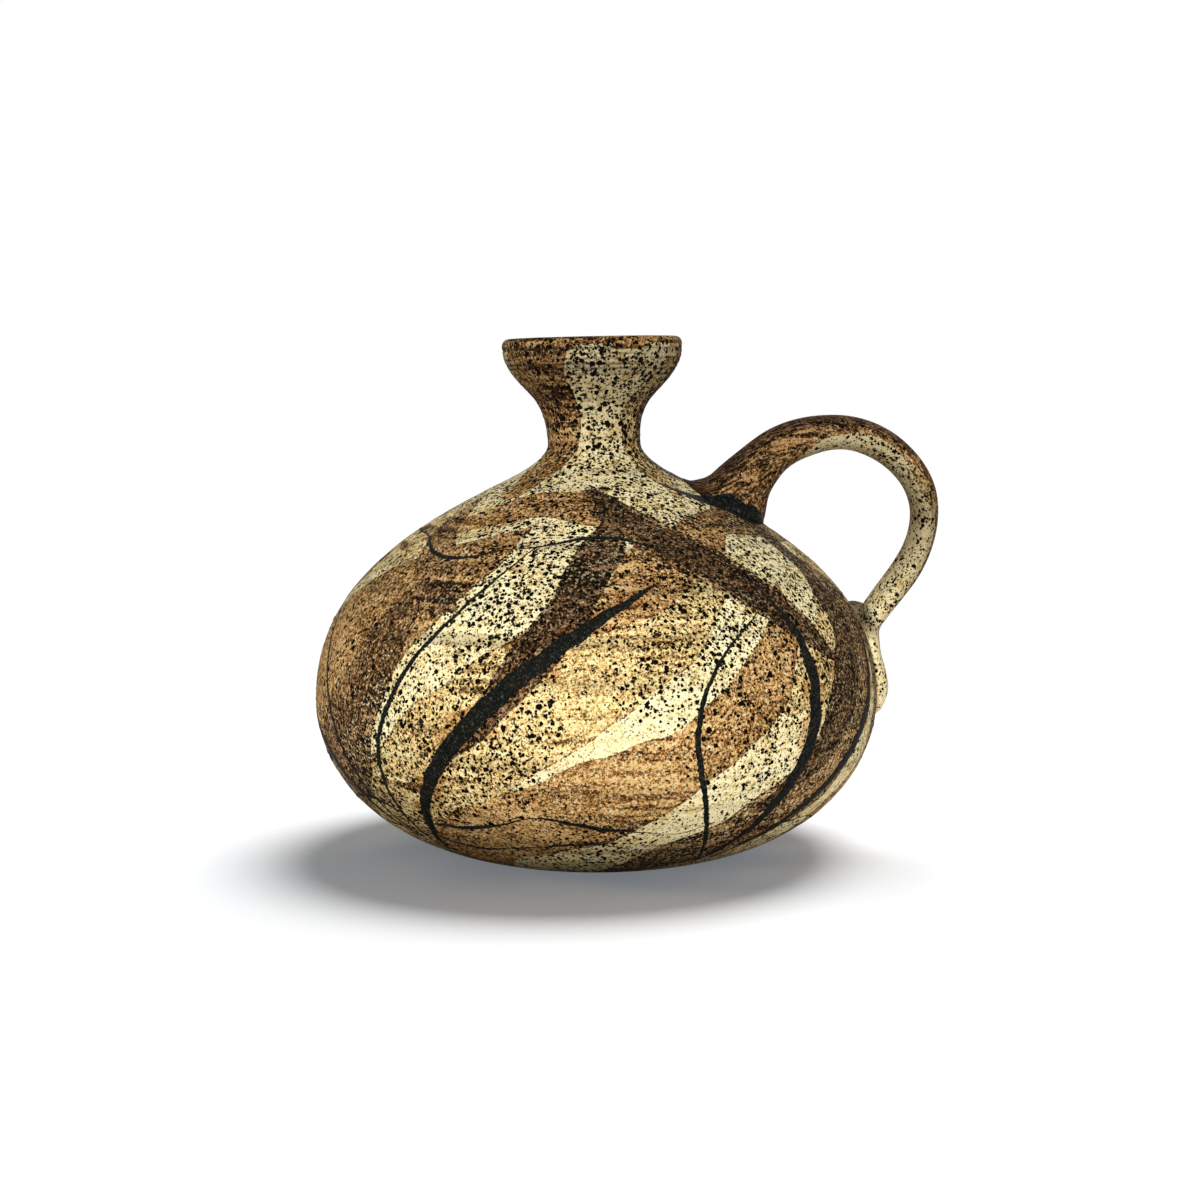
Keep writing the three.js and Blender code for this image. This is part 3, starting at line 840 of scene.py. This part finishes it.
# How deep points lie in the slip that is smeared about the coil, away from the underside of the strap
def smear_depth(points):
    t, middle = coil_line()
    depth = np.full(len(points), -FAR)
    near = np.flatnonzero(np.linalg.norm(points - middle.mean(axis=0), axis=1) < SMEAR_LIMIT)
    for share, place in zip(t, middle):
        reach = SMEAR_REACH * smooth_step(abs(2 * share - 1), *SMEAR_START)
        depth[near] = np.maximum(depth[near], reach - np.linalg.norm(points[near] - place, axis=1))
    return np.maximum(depth, blade_depth(points, SMEAR_BLADES))


def handle_finish(points, station, round_way, girth, stand_off):
    from_outside = np.abs((round_way + math.pi) % (2 * math.pi) - math.pi)
    depth, cap_depth = (
        (np.radians(along(station, reach)) - from_outside) * girth / 2
        for reach in (WASH_REACH, UMBER_REACH)
    )
    # Painted shade, with some dirt, in the angle between the foot and the belly
    shade_in_angle = within(station, *FOOT_SPAN) * smooth_fall(stand_off, *FOOT_SHADE_EDGE)
    on_wash = eased(station, *SHADE_ON_WASH)
    # Painted shade on the strap, most where it lies off the wash
    smoke = along(station, HANDLE_SHADE) * (on_wash + (1 - on_wash) * smooth_step(-depth, *WASH_FADE))
    fewer = eased(station, *FEWER_ON_TAIL) + eased(station, *FEWER_ON_ROOT)
    spatter = HANDLE_SPATTER + lumps(points, *HANDLE_SPATTER_PATCHES, seed=33) - fewer
    return plain_finish(len(points)) | {
        "pale_wash": depth + lumps(points, *PALE_PATCHES, seed=34),
        "tan_wash": depth + TAN_BEYOND,
        "brown_wash": depth,
        "umber_wash": np.clip(cap_depth, -FAR, FAR),
        "slip_wash": smear_depth(points),
        "spatter": np.clip(spatter, 0, 1),
        "smoke": np.maximum(smoke, shade_in_angle),
        # Painted shade, with some dirt, along the seam with the vessel and in the angle at the foot
        "hollow": np.maximum(smooth_fall(stand_off, *HANDLE_SEAM_SHADE_EDGE), FOOT_SHADE_AND_DIRT * shade_in_angle),
    }


# Coil and wad

# Middle line of the coil, from one end round the underside of the root to the other
def coil_line():
    reach, spread = STRAP_SECTIONS[0] / 2 - COIL_INSETS
    t = np.linspace(0, 1, COIL_STEPS + 1)
    turn = np.radians(COIL_SPAN * (2 * t - 1))
    x = root_on_shoulder[0] + reach * np.cos(turn)
    y = spread * np.sin(turn)
    rising = outer[section_ends[1]:section_ends[2] + COIL_NECK_ROWS]
    z = np.interp(np.hypot(x, y), rising[::-1, 0], rising[::-1, 1]) + COIL_LIFT * np.sin(math.pi * t)
    return t, np.column_stack([x, y, z])


def build_coil(material):
    t, middle = coil_line()
    travel = unit(np.gradient(middle, axis=0))
    across = unit(np.cross(travel, (0, 0, 1)))
    upward = np.cross(across, travel)
    fullness = smooth_line([[radius] for radius in COIL_RADII], COIL_STEPS)[:, 0]
    radius = np.interp(t, np.linspace(0, 1, len(fullness)), fullness)
    radius *= np.sqrt(np.clip(np.minimum(t, 1 - t) / COIL_ROUNDING, COIL_LEAST, 1))
    angles = turns(COIL_SIDES)[None, :, None]
    rounds = across[:, None] * np.cos(angles) + upward[:, None] * np.sin(angles)
    rounds = rounds.reshape(-1, 3)
    centres = np.repeat(middle, COIL_SIDES, axis=0)
    skin_points = centres + rounds * COIL_LUMP_RADIUS
    swell = 1 + lumps(skin_points, *COIL_LUMPS, seed=41) + lumps(skin_points, *COIL_GRAIN, seed=42)
    points = centres + rounds * (np.repeat(radius, COIL_SIDES) * swell)[:, None]
    faces = capped_skin(COIL_STEPS + 1, COIL_SIDES)
    piece = make_piece("upper_root_coil", points, faces, "black_slip", material)
    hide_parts("upper_root_coil")


def build_wad(material):
    height = foot_height + WAD_RISE
    falls = np.linspace(*WAD_ENDS, WAD_STEPS) * math.pi
    angles = turns(WAD_STEPS)
    ball = np.column_stack([
        np.outer(np.sin(falls), np.cos(angles)).ravel(),
        np.outer(np.sin(falls), np.sin(angles)).ravel(),
        -np.repeat(np.cos(falls), WAD_STEPS),
    ])
    smooth = ball * (WAD_DEPTH, WAD_WIDTH / 2, WAD_HEIGHT / 2)
    swell = 1 + lumps(smooth, *WAD_LUMPS, seed=51)
    points = smooth * swell[:, None] + (radius_at(height), 0, height)
    faces = capped_skin(WAD_STEPS, WAD_STEPS)
    # Greyed and darkened all over: the wad's own grey clay, and painted shade in the angle under the limb
    attributes = plain_finish(len(points), spatter=0.5, smoke=1.0, hollow=0.3)
    piece = make_piece("lower_root_wad", points, faces, "washed_stoneware", material, attributes)
    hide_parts("lower_root_wad")


# Brushwork

# A ragged ridge of slip along a run of angle, height and half width
def stroke(controls, seed):
    rows = np.array(controls, float)
    rows[:, 1] = length_at(rows[:, 1])
    line = smooth_line(rows, STROKE_LINE_STEPS)
    profile = between(line[:, 1], outer_lengths, outer)
    lengths = run_lengths(round_axis(line[:, 0], *profile.T))
    rows = even_rows(np.hstack([line, profile]), lengths, STROKE_STEP, STROKE_LEAST_STEPS)[1]
    angle, length, half, radius, height = rows.T
    half = np.maximum(half, STROKE_LEAST_HALF)
    places = round_axis(angle, radius, height)
    round_step = np.gradient(np.radians(angle)) * radius
    up_step = np.gradient(length)
    pace = np.hypot(round_step, up_step)
    drift = lumps(places, *STROKE_DRIFT, seed) * np.minimum(half, 1)
    left, right = (
        half * (1 + lumps(places, *STROKE_WAVER, seed + step)) + lumps(places, *STROKE_FRAY, seed + step + 1)
        for step in (1, 3)
    )
    body = STROKE_THICKNESS * np.clip(half / STROKE_FULL_HALF, STROKE_LEAST_BODY, 1)
    body *= 1 + lumps(places, *STROKE_CAKING, seed + 5)
    rings = []
    for across, lift, under in STROKE_SECTION:
        offset = drift + across * (left if across < 0 else right)
        shifted_angle = angle - np.degrees(up_step / pace * offset / radius)
        shifted_length = length + round_step / pace * offset
        rings.append(on_face(shifted_angle, shifted_length, body * lift - STROKE_SINK * under))
    points = np.stack(rings, axis=1).reshape(-1, 3)
    return points, capped_skin(len(rows), len(STROKE_SECTION))


def ripple_line(first, last, height, rise, waves, half):
    share = np.linspace(0, 1, int(waves * RIPPLE_POINTS) + 2)
    phase = 2 * math.pi * waves * share
    small, pace, shift = RIPPLE_OVERTONE
    heights = height + rise * np.sin(phase) + small * rise * np.sin(pace * phase + shift)
    middle, reach, pace, shift = RIPPLE_SWELL
    taper = np.clip(RIPPLE_TAPER * np.minimum(share, 1 - share), RIPPLE_LEAST, 1)
    halves = half * (middle + reach * np.sin(pace * phase + shift)) * taper
    return np.column_stack([first + (last - first) * share, heights, halves])


def droplet(angle, length, size, generator):
    side = turns(DROPLET_SIDES)
    radius = np.interp(length, outer_lengths, outer[:, 0])
    ragged = size * generator.uniform(*DROPLET_RAGGED, DROPLET_SIDES)
    stretch = generator.uniform(*DROPLET_STRETCH)
    body = min(size, 1)
    rings = []
    for share, lift in DROPLET_RINGS:
        round_way = np.degrees(ragged * share * np.cos(side) * stretch / radius)
        rings.append(on_face(angle + round_way, length + ragged * share * np.sin(side), lift * body))
    middle_lifts = np.array([DROPLET_LIFT * body, -DROPLET_SINK])
    middles = on_face(np.full(2, angle), np.full(2, length), middle_lifts)
    return np.vstack(rings + [middles]), fanned_skin(len(DROPLET_RINGS), DROPLET_SIDES)


def joined(parts):
    points = []
    faces = []
    start = 0
    for part_points, part_faces in parts:
        points.append(part_points)
        faces += [[start + corner for corner in face] for face in part_faces]
        start += len(part_points)
    return np.vstack(points), faces


def build_brushwork(material):
    lines = REEDS + [ripple_line(*ripple) for ripple in RIPPLES]
    strokes = [stroke(line, STROKE_SEED + STROKE_SEEDS * index) for index, line in enumerate(lines)]
    make_piece("slip_brushwork", *joined(strokes), "black_slip", material)
    generator = np.random.default_rng(DROPLET_SEED)
    drops = []
    while len(drops) < DROPLETS:
        angle = generator.uniform(-180, 180)
        height = generator.uniform(DROPLET_LOWEST, GROOVE_HEIGHT)
        density = spatter_at(on_profile(angle, height))[0] * radius_at(height) / BELLY_RADIUS
        if generator.uniform(0, 1) * DROPLET_THINNING < density:
            size = DROPLET_LEAST + DROPLET_RANGE * generator.uniform(0, 1) ** DROPLET_RARITY
            drops.append(droplet(angle, length_at(height), size, generator))
    make_piece("slip_droplets", *joined(drops), "black_slip", material)


# Materials

# Linear colour from a web code
def colour(code):
    channels = [int(code[place:place + 2], 16) / 255 for place in (1, 3, 5)]
    linear = [c / 12.92 if c <= 0.04045 else ((c + 0.055) / 1.055) ** 2.4 for c in channels]
    return (*linear, 1.0)


FIRED_IOR = 1.15
BUMP_DISTANCE = 0.00015
DOT_RARITY = 1.6  # of the larger dots
DOT_EDGE = 0.08


class Graph:
    """Shader nodes of a material or a world, with inputs given as numbers or as other nodes' outputs."""

    def __init__(self, owner):
        owner.use_nodes = True
        self.owner = owner
        self.tree = owner.node_tree
        self.tree.nodes.clear()

    # Place on the piece, in millimetres
    @functools.cached_property
    def place(self):
        return self.vector("MULTIPLY", self.node("ShaderNodeTexCoord").outputs["Object"], (1 / MM,) * 3)

    def node(self, kind, inputs=None, **settings):
        made = self.tree.nodes.new(kind)
        for label, value in settings.items():
            setattr(made, label, value)
        for label, value in (inputs or {}).items():
            if isinstance(value, bpy.types.NodeSocket):
                self.tree.links.new(value, made.inputs[label])
            else:
                made.inputs[label].default_value = value
        return made

    def output(self, kind, inputs, **settings):
        return self.node(kind, inputs, **settings).outputs[0]

    def math(self, operation, *inputs):
        return self.output("ShaderNodeMath", dict(enumerate(inputs)), operation=operation)

    def vector(self, operation, *inputs):
        return self.output("ShaderNodeVectorMath", dict(enumerate(inputs)), operation=operation)

    def attribute(self, name):
        return self.node("ShaderNodeAttribute", attribute_name=name).outputs["Fac"]

    def add(self, total, *others):
        for other in others:
            total = self.math("ADD", total, other)
        return total

    def times(self, first, second):
        return self.math("MULTIPLY", first, second)

    def scaled(self, value, factor, shift=0.0):
        return self.math("MULTIPLY_ADD", value, factor, shift)

    # Noise as a swing to both sides of zero
    def swing(self, noise, reach):
        return self.scaled(noise, 2 * reach, -reach)

    def rise(self, value, low, high):
        inputs = {"Value": value, "From Min": low, "From Max": high}
        return self.output("ShaderNodeMapRange", inputs, interpolation_type="SMOOTHSTEP")

    def blend(self, share, first, second, kind="MIX"):
        inputs = {0: share, 6: first, 7: second}
        return self.node("ShaderNodeMix", inputs, data_type="RGBA", blend_type=kind).outputs[2]

    def ramp(self, value, stops):
        made = self.node("ShaderNodeValToRGB", {0: value})
        points = made.color_ramp.elements
        while len(points) < len(stops):
            points.new(0.5)
        for point, (position, code) in zip(points, stops):
            point.position = position
            point.color = colour(code)
        return made.outputs[0]

    def stretched(self, factors):
        return self.vector("MULTIPLY", self.place, factors)

    def noise(self, size, detail=2.0, roughness=0.5, distortion=0.0, place=None):
        return self.output("ShaderNodeTexNoise", {
            "Vector": place or self.place,
            "Scale": 1 / size,
            "Detail": detail,
            "Roughness": roughness,
            "Distortion": distortion,
        })

    # Irregular dots of a range of sizes, one in each cell that holds one
    def dots(self, spacing, smallest, largest, share, place):
        cell = self.node("ShaderNodeTexVoronoi", {"Vector": place, "Scale": 1 / spacing})
        chance, girth, _ = self.node("ShaderNodeSeparateXYZ", {0: cell.outputs["Color"]}).outputs
        growth = self.math("POWER", girth, DOT_RARITY)
        radius = self.scaled(growth, (largest - smallest) / spacing, smallest / spacing)
        depth = self.math("SUBTRACT", radius, cell.outputs["Distance"])
        return self.times(self.rise(depth, 0.0, DOT_EDGE / spacing), self.math("LESS_THAN", chance, share))

    # Places shaken by fine noise
    def shaken(self, size, amount):
        noise = self.node("ShaderNodeTexNoise", {"Vector": self.place, "Scale": 1 / size, "Detail": 2.0})
        centred = self.vector("SUBTRACT", noise.outputs["Color"], (0.5, 0.5, 0.5))
        return self.vector("MULTIPLY_ADD", centred, (amount,) * 3, self.place)

    # One for rays that show the backdrop: from the camera, in reflections and through glass
    def seen_rays(self):
        path = self.node("ShaderNodeLightPath").outputs
        seen = self.math("MAXIMUM", path["Is Camera Ray"], path["Is Glossy Ray"])
        return self.math("MAXIMUM", seen, path["Is Transmission Ray"])

    # Fired clay or slip with a fine grain in its surface
    def fired(self, paint, roughness, specular, height, strength):
        bump = {"Strength": strength, "Distance": BUMP_DISTANCE, "Height": height}
        return self.finish(self.output("ShaderNodeBsdfPrincipled", {
            "Base Color": paint,
            "Roughness": roughness,
            "IOR": FIRED_IOR,
            "Specular IOR Level": specular,
            "Normal": self.output("ShaderNodeBump", bump),
        }))

    def finish(self, surface, kind="ShaderNodeOutputMaterial"):
        self.node(kind, {"Surface": surface})
        return self.owner


# Colours of each layer from the palest grain to the darkest
CREAM_GRAIN = [(0.0, "#faecbc"), (0.4, "#eedba2"), (0.7, "#d3b679"), (1.0, "#8a6a3e")]
PALE_GRAIN = [(0.0, "#f2dca0"), (0.4, "#e0c27e"), (0.72, "#b88f52"), (1.0, "#5a3d20")]
TAN_GRAIN = [(0.0, "#dcb67a"), (0.35, "#b68549"), (0.65, "#84572c"), (1.0, "#382210")]
BROWN_GRAIN = [(0.0, "#bb905f"), (0.3, "#7c5731"), (0.6, "#4c341f"), (1.0, "#180f08")]
UMBER_GRAIN = [(0.0, "#8c6a4a"), (0.3, "#543b27"), (0.6, "#2e1f13"), (1.0, "#0e0905")]
RAW_GRAIN = [(0.0, "#b99766"), (0.5, "#9a7848"), (1.0, "#5f4526")]
# Grey of kiln smoke, which also serves as painted shade on the vessel, the strap and the wad
SMOKE_AND_SHADE_COLOUR = colour("#8c8684")
AMBER = colour("#c2904a")
SPECK = colour("#0b0907")
PEPPER = colour("#2b1c0f")
SLIP = colour("#0b0e0c")
# Grey of rubbed slip, which also stands in for a painted sheen
SLIP_WORN_AND_SHEEN = colour("#4a4b42")
SLIP_BROWN = colour("#14110d")

# Bands of a wash by its depth, the tone of each, and how close its streaks lie
WASH_EDGE = (-0.12, 0.15)
TIDE_BAND = (1.6, 0.0)
TIDE_TONE = 0.2
LINE_BAND = (0.6, 0.1)
LINE_TONE = 0.3
STREAK_PITCH = 0.9

# Dots of pigment: spacing, smallest and largest reach, and for specks the share of cells that hold one,
# as a factor of the spatter and a shift
PEPPER_DOTS = (0.85, 0.2, 0.48)
SPECK_DOTS = [((1.4, 0.3, 1.0), 2.2, -0.3), ((2.6, 0.4, 1.5), 1.8, -0.4)]


# One wash over what lies below it, with a crisp wavering edge, a darker tide mark, streaks of the brush
# along it and dry flecks that the layer below shows through
def add_wash(graph, below, label, grains, warp, grain, shown, streaks, streak_pace, strap):
    depth = graph.add(graph.attribute(label), warp)
    covered = graph.rise(depth, *WASH_EDGE)
    tide = graph.scaled(graph.rise(depth, *TIDE_BAND), TIDE_TONE)
    line = graph.scaled(graph.rise(depth, *LINE_BAND), LINE_TONE)
    run = strap or graph.output("ShaderNodeCombineXYZ", {0: graph.scaled(depth, STREAK_PITCH)})
    lengthways = graph.vector("MULTIPLY_ADD", graph.place, (streak_pace,) * 3, run)
    streak = graph.swing(graph.noise(size=1.0, roughness=0.6, place=lengthways), streaks)
    tone = graph.add(grain, line, tide, streak)
    return graph.blend(graph.times(covered, shown), below, graph.ramp(tone, grains)), covered


# Pepper over everything, and specks that lie thinner where the washes cover the clay
def add_spatter(graph, paint, covered, hiding, speck):
    shaken = graph.shaken(size=0.7, amount=1.2)
    pepper = graph.dots(*PEPPER_DOTS, graph.scaled(covered, factor=0.15, shift=0.6), shaken)
    paint = graph.blend(graph.scaled(pepper, 0.8), paint, PEPPER)
    spatter = graph.attribute("spatter")
    bared = graph.scaled(covered, -hiding, 1.0)
    layers = []
    for sizes, factor, shift in SPECK_DOTS:
        share = graph.times(graph.scaled(spatter, factor, shift), bared)
        layers.append(graph.dots(*[size * speck for size in sizes], share, shaken))
    specks = graph.math("MAXIMUM", *layers)
    return graph.blend(specks, paint, SPECK), specks


# Rings of the wheel, in patches
def wheel_rings(graph):
    level = graph.stretched((0.05, 0.05, 1.0))
    rings = graph.noise(size=2.6, detail=1.0, distortion=0.5, place=level)
    patches = graph.rise(graph.noise(size=34.0, detail=1.0), low=0.46, high=0.6)
    return graph.times(graph.swing(rings, reach=1.7), patches)


# Streaks of the brush run along the strap
def strap_run(graph):
    over = graph.scaled(graph.attribute("strap_over"), STREAK_PITCH)
    beside = graph.scaled(graph.attribute("strap_beside"), STREAK_PITCH)
    return graph.output("ShaderNodeCombineXYZ", {0: over, 1: beside})


def stoneware(name, thrown, fray, streaks, streak_pace, thinness, coarseness, hiding, speck):
    graph = Graph(bpy.data.materials.new(name))
    hair = graph.noise(size=1.7, detail=3.0, roughness=0.65, distortion=0.6)
    fine = graph.noise(size=1.1, detail=3.0, roughness=0.65)
    level = graph.stretched((0.12, 0.12, 1.0))
    streak = graph.noise(size=2.2, detail=3.0, roughness=0.6, distortion=0.3, place=level)
    cloud = graph.noise(size=26.0, detail=3.0)
    grit = graph.noise(size=0.5, detail=1.0)
    mottle = graph.noise(size=6.0, detail=3.0, roughness=0.6)
    tones = [(hair, 0.7), (fine, 1.6), (cloud, 0.6), (grit, 0.8)]
    if thrown:
        tones.append((streak, 0.55))
    grain = graph.add(*[graph.swing(noise, reach) for noise, reach in tones])
    wash_grain = graph.scaled(grain, coarseness, shift=0.46)
    if thrown:
        wash_grain = graph.add(wash_grain, wheel_rings(graph))
    ground_grain = graph.add(graph.scaled(grain, factor=0.7, shift=0.22), graph.swing(mottle, reach=1.0))
    dry = graph.rise(graph.noise(size=1.05, roughness=0.62), low=0.54, high=0.6)
    wander = graph.swing(graph.noise(size=28.0, detail=1.0), reach=5.0)
    ragged = graph.swing(graph.noise(size=1.6, detail=3.0, roughness=0.65), fray)
    warp = graph.add(wander, ragged)
    strap = None if thrown else strap_run(graph)
    paint = graph.ramp(ground_grain, CREAM_GRAIN)
    covers = []
    for label, grains, thin in (
        ("pale_wash", PALE_GRAIN, 0.6),
        ("tan_wash", TAN_GRAIN, 0.5),
        ("brown_wash", BROWN_GRAIN, thinness),
        ("umber_wash", UMBER_GRAIN, 0.4),
    ):
        shown = graph.scaled(dry, -thin, 1.0)
        paint, cover = add_wash(
            graph, paint, label, grains, warp, wash_grain, shown, streaks, streak_pace, strap)
        covers.append(cover)
    _, tan_cover, brown_cover, umber_cover = covers
    covered = graph.math("MAXIMUM", tan_cover, graph.math("MAXIMUM", brown_cover, umber_cover))
    halo_noise = graph.scaled(graph.noise(size=9.0, detail=3.0), factor=24.0, shift=-13.0)
    halo = graph.rise(graph.add(graph.attribute("halo"), halo_noise), low=-5.0, high=1.0)
    paint = graph.blend(graph.scaled(halo, 0.6), paint, AMBER, "MULTIPLY")
    # Smoke and painted shade, multiplied over the paint
    paint = graph.blend(graph.attribute("smoke"), paint, SMOKE_AND_SHADE_COLOUR, "MULTIPLY")
    # Pigment in the rings, and painted shade with some dirt at the handle's seams and angles, in dark brown
    paint = graph.blend(graph.scaled(graph.attribute("hollow"), 0.75), paint, PEPPER)
    paint = graph.blend(graph.attribute("bare"), paint, graph.ramp(wash_grain, RAW_GRAIN))
    paint, specks = add_spatter(graph, paint, covered, hiding, speck)
    smear_edge = graph.add(graph.attribute("slip_wash"), graph.swing(hair, reach=1.5))
    smeared = graph.rise(smear_edge, low=-0.1, high=0.15)
    paint = graph.blend(smeared, paint, slip_colour(graph))
    roughness = graph.add(
        graph.scaled(covered, factor=-0.06, shift=0.82),
        graph.scaled(smeared, factor=-0.2),
        graph.swing(fine, reach=0.08),
    )
    height = graph.add(graph.scaled(hair, 0.8), graph.scaled(specks, 0.5), graph.scaled(streak, 0.5))
    return graph.fired(paint, roughness, specular=0.1, height=height, strength=0.5)


# Slip that is brown where it lies thin, and grey where it is rubbed, the grey also standing in for a painted
# sheen
def slip_colour(graph):
    thin = graph.rise(graph.noise(size=7.0, detail=3.0), low=0.45, high=0.7)
    worn = graph.noise(size=0.9, detail=3.0, roughness=0.7, distortion=0.8)
    rubbed_and_sheen = graph.rise(worn, low=0.5, high=0.76)
    return graph.blend(rubbed_and_sheen, graph.blend(thin, SLIP, SLIP_BROWN), SLIP_WORN_AND_SHEEN)


def black_slip(name):
    graph = Graph(bpy.data.materials.new(name))
    grain = graph.noise(size=0.7, detail=3.0, roughness=0.65)
    streak = graph.noise(size=1.1, detail=3.0, roughness=0.6, distortion=0.8)
    roughness = graph.scaled(grain, factor=0.3, shift=0.45)
    height = graph.add(graph.scaled(grain, 0.6), graph.scaled(streak, 0.6))
    return graph.fired(slip_colour(graph), roughness, specular=0.2, height=height, strength=0.6)


# Stage, in metres

FLOOR_SIZE = 12.0
FLOOR_GLOW = 0.17
FLOOR_GLOW_COLOUR = (0.92, 1.0, 1.1, 1.0)
FLOOR_CAMERA_COLOUR = (0.74, 0.74, 0.74, 1.0)
FLOOR_BOUNCE_COLOUR = (0.86, 0.85, 0.83, 1.0)
WHITE = (1.0, 1.0, 1.0, 1.0)
WORLD_FILL = 0.14
FLOOR_MIDDLE = Vector((0.0, 0.0, 0.0))
BELLY_MIDDLE = Vector((0.0, 0.0, 0.08))
KEY_PLACE = (-0.1, -1.3, 0.74)
BACK_PLACE = (0.5, 1.6, 0.9)
OVERHEAD_PLACE = (0.36, 0.5, 1.4)
CAMERA_PLACE = (0.0014, -0.83, 0.175)
CAMERA_TARGET = Vector((0.0014, 0.0, 0.0928))
CAMERA_LENS = 67.1
CAMERA_SENSOR = 36.0


def build_floor():
    mesh = bpy.data.meshes.new("floor")
    half = FLOOR_SIZE / 2
    corners = [(-half, -half, 0), (half, -half, 0), (half, half, 0), (-half, half, 0)]
    mesh.from_pydata(corners, [], [(0, 1, 2, 3)])
    graph = Graph(bpy.data.materials.new("pale_floor"))
    glow = graph.output("ShaderNodeEmission", {"Color": FLOOR_GLOW_COLOUR, "Strength": FLOOR_GLOW})
    pale = graph.output("ShaderNodeBsdfDiffuse", {"Color": FLOOR_CAMERA_COLOUR})
    shown = graph.output("ShaderNodeAddShader", {0: glow, 1: pale})
    bounce = graph.output("ShaderNodeBsdfDiffuse", {"Color": FLOOR_BOUNCE_COLOUR})
    surface = graph.output("ShaderNodeMixShader", {0: graph.seen_rays(), 1: bounce, 2: shown})
    mesh.materials.append(graph.finish(surface))
    floor = add_object("floor", mesh)
    floor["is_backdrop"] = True
    return floor


def build_world():
    graph = Graph(bpy.data.worlds.new("studio"))
    backdrop = graph.output("ShaderNodeBackground", {"Color": WHITE, "Strength": 1.0})
    fill = graph.output("ShaderNodeBackground", {"Color": WHITE, "Strength": WORLD_FILL})
    surface = graph.output("ShaderNodeMixShader", {0: graph.seen_rays(), 1: fill, 2: backdrop})
    bpy.context.scene.world = graph.finish(surface, "ShaderNodeOutputWorld")


def put(thing, place, target):
    thing.location = place
    thing.rotation_euler = (target - thing.location).to_track_quat("-Z", "Y").to_euler()


# A lamp that lights only the given things, with the size of a sun in degrees
def add_lamp(name, kind, place, target, energy, size, things):
    lamp = bpy.data.lights.new(name, kind)
    lamp.energy = energy
    if kind == "AREA":
        lamp.size = size
    else:
        lamp.angle = math.radians(size)
    holder = add_object(name, lamp)
    put(holder, place, target)
    lit = bpy.data.collections.new("lit_by_" + name)
    for thing in things:
        lit.objects.link(thing)
    holder.light_linking.receiver_collection = lit


def build_lights(floor):
    add_lamp("key", "AREA", KEY_PLACE, BELLY_MIDDLE, energy=21.0, size=0.6, things=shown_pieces())
    add_lamp("back", "AREA", BACK_PLACE, BELLY_MIDDLE, energy=12.0, size=1.0, things=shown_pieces())
    add_lamp("overhead", "SUN", OVERHEAD_PLACE, FLOOR_MIDDLE, energy=3.5, size=31.0, things=[floor])


def build_camera():
    lens = bpy.data.cameras.new("camera")
    lens.sensor_width = CAMERA_SENSOR
    lens.lens = CAMERA_LENS
    camera = add_object("camera", lens)
    put(camera, CAMERA_PLACE, CAMERA_TARGET)
    bpy.context.scene.camera = camera


stoneware_body = stoneware("stoneware", thrown=True, fray=0.8, streaks=0.5, streak_pace=0.06,
                           thinness=0.7, coarseness=1.0, hiding=0.35, speck=0.8)
stoneware_handle = stoneware("washed_stoneware", thrown=False, fray=1.5, streaks=1.9, streak_pace=0.36,
                             thinness=0.6, coarseness=0.72, hiding=0.6, speck=0.72)
slip = black_slip("black_slip")
build_vessel(stoneware_body)
build_handle(stoneware_handle)
build_coil(slip)
build_wad(stoneware_handle)
build_brushwork(slip)
build_world()
build_lights(build_floor())
build_camera()
bpy.context.scene.view_settings.view_transform = "Standard"
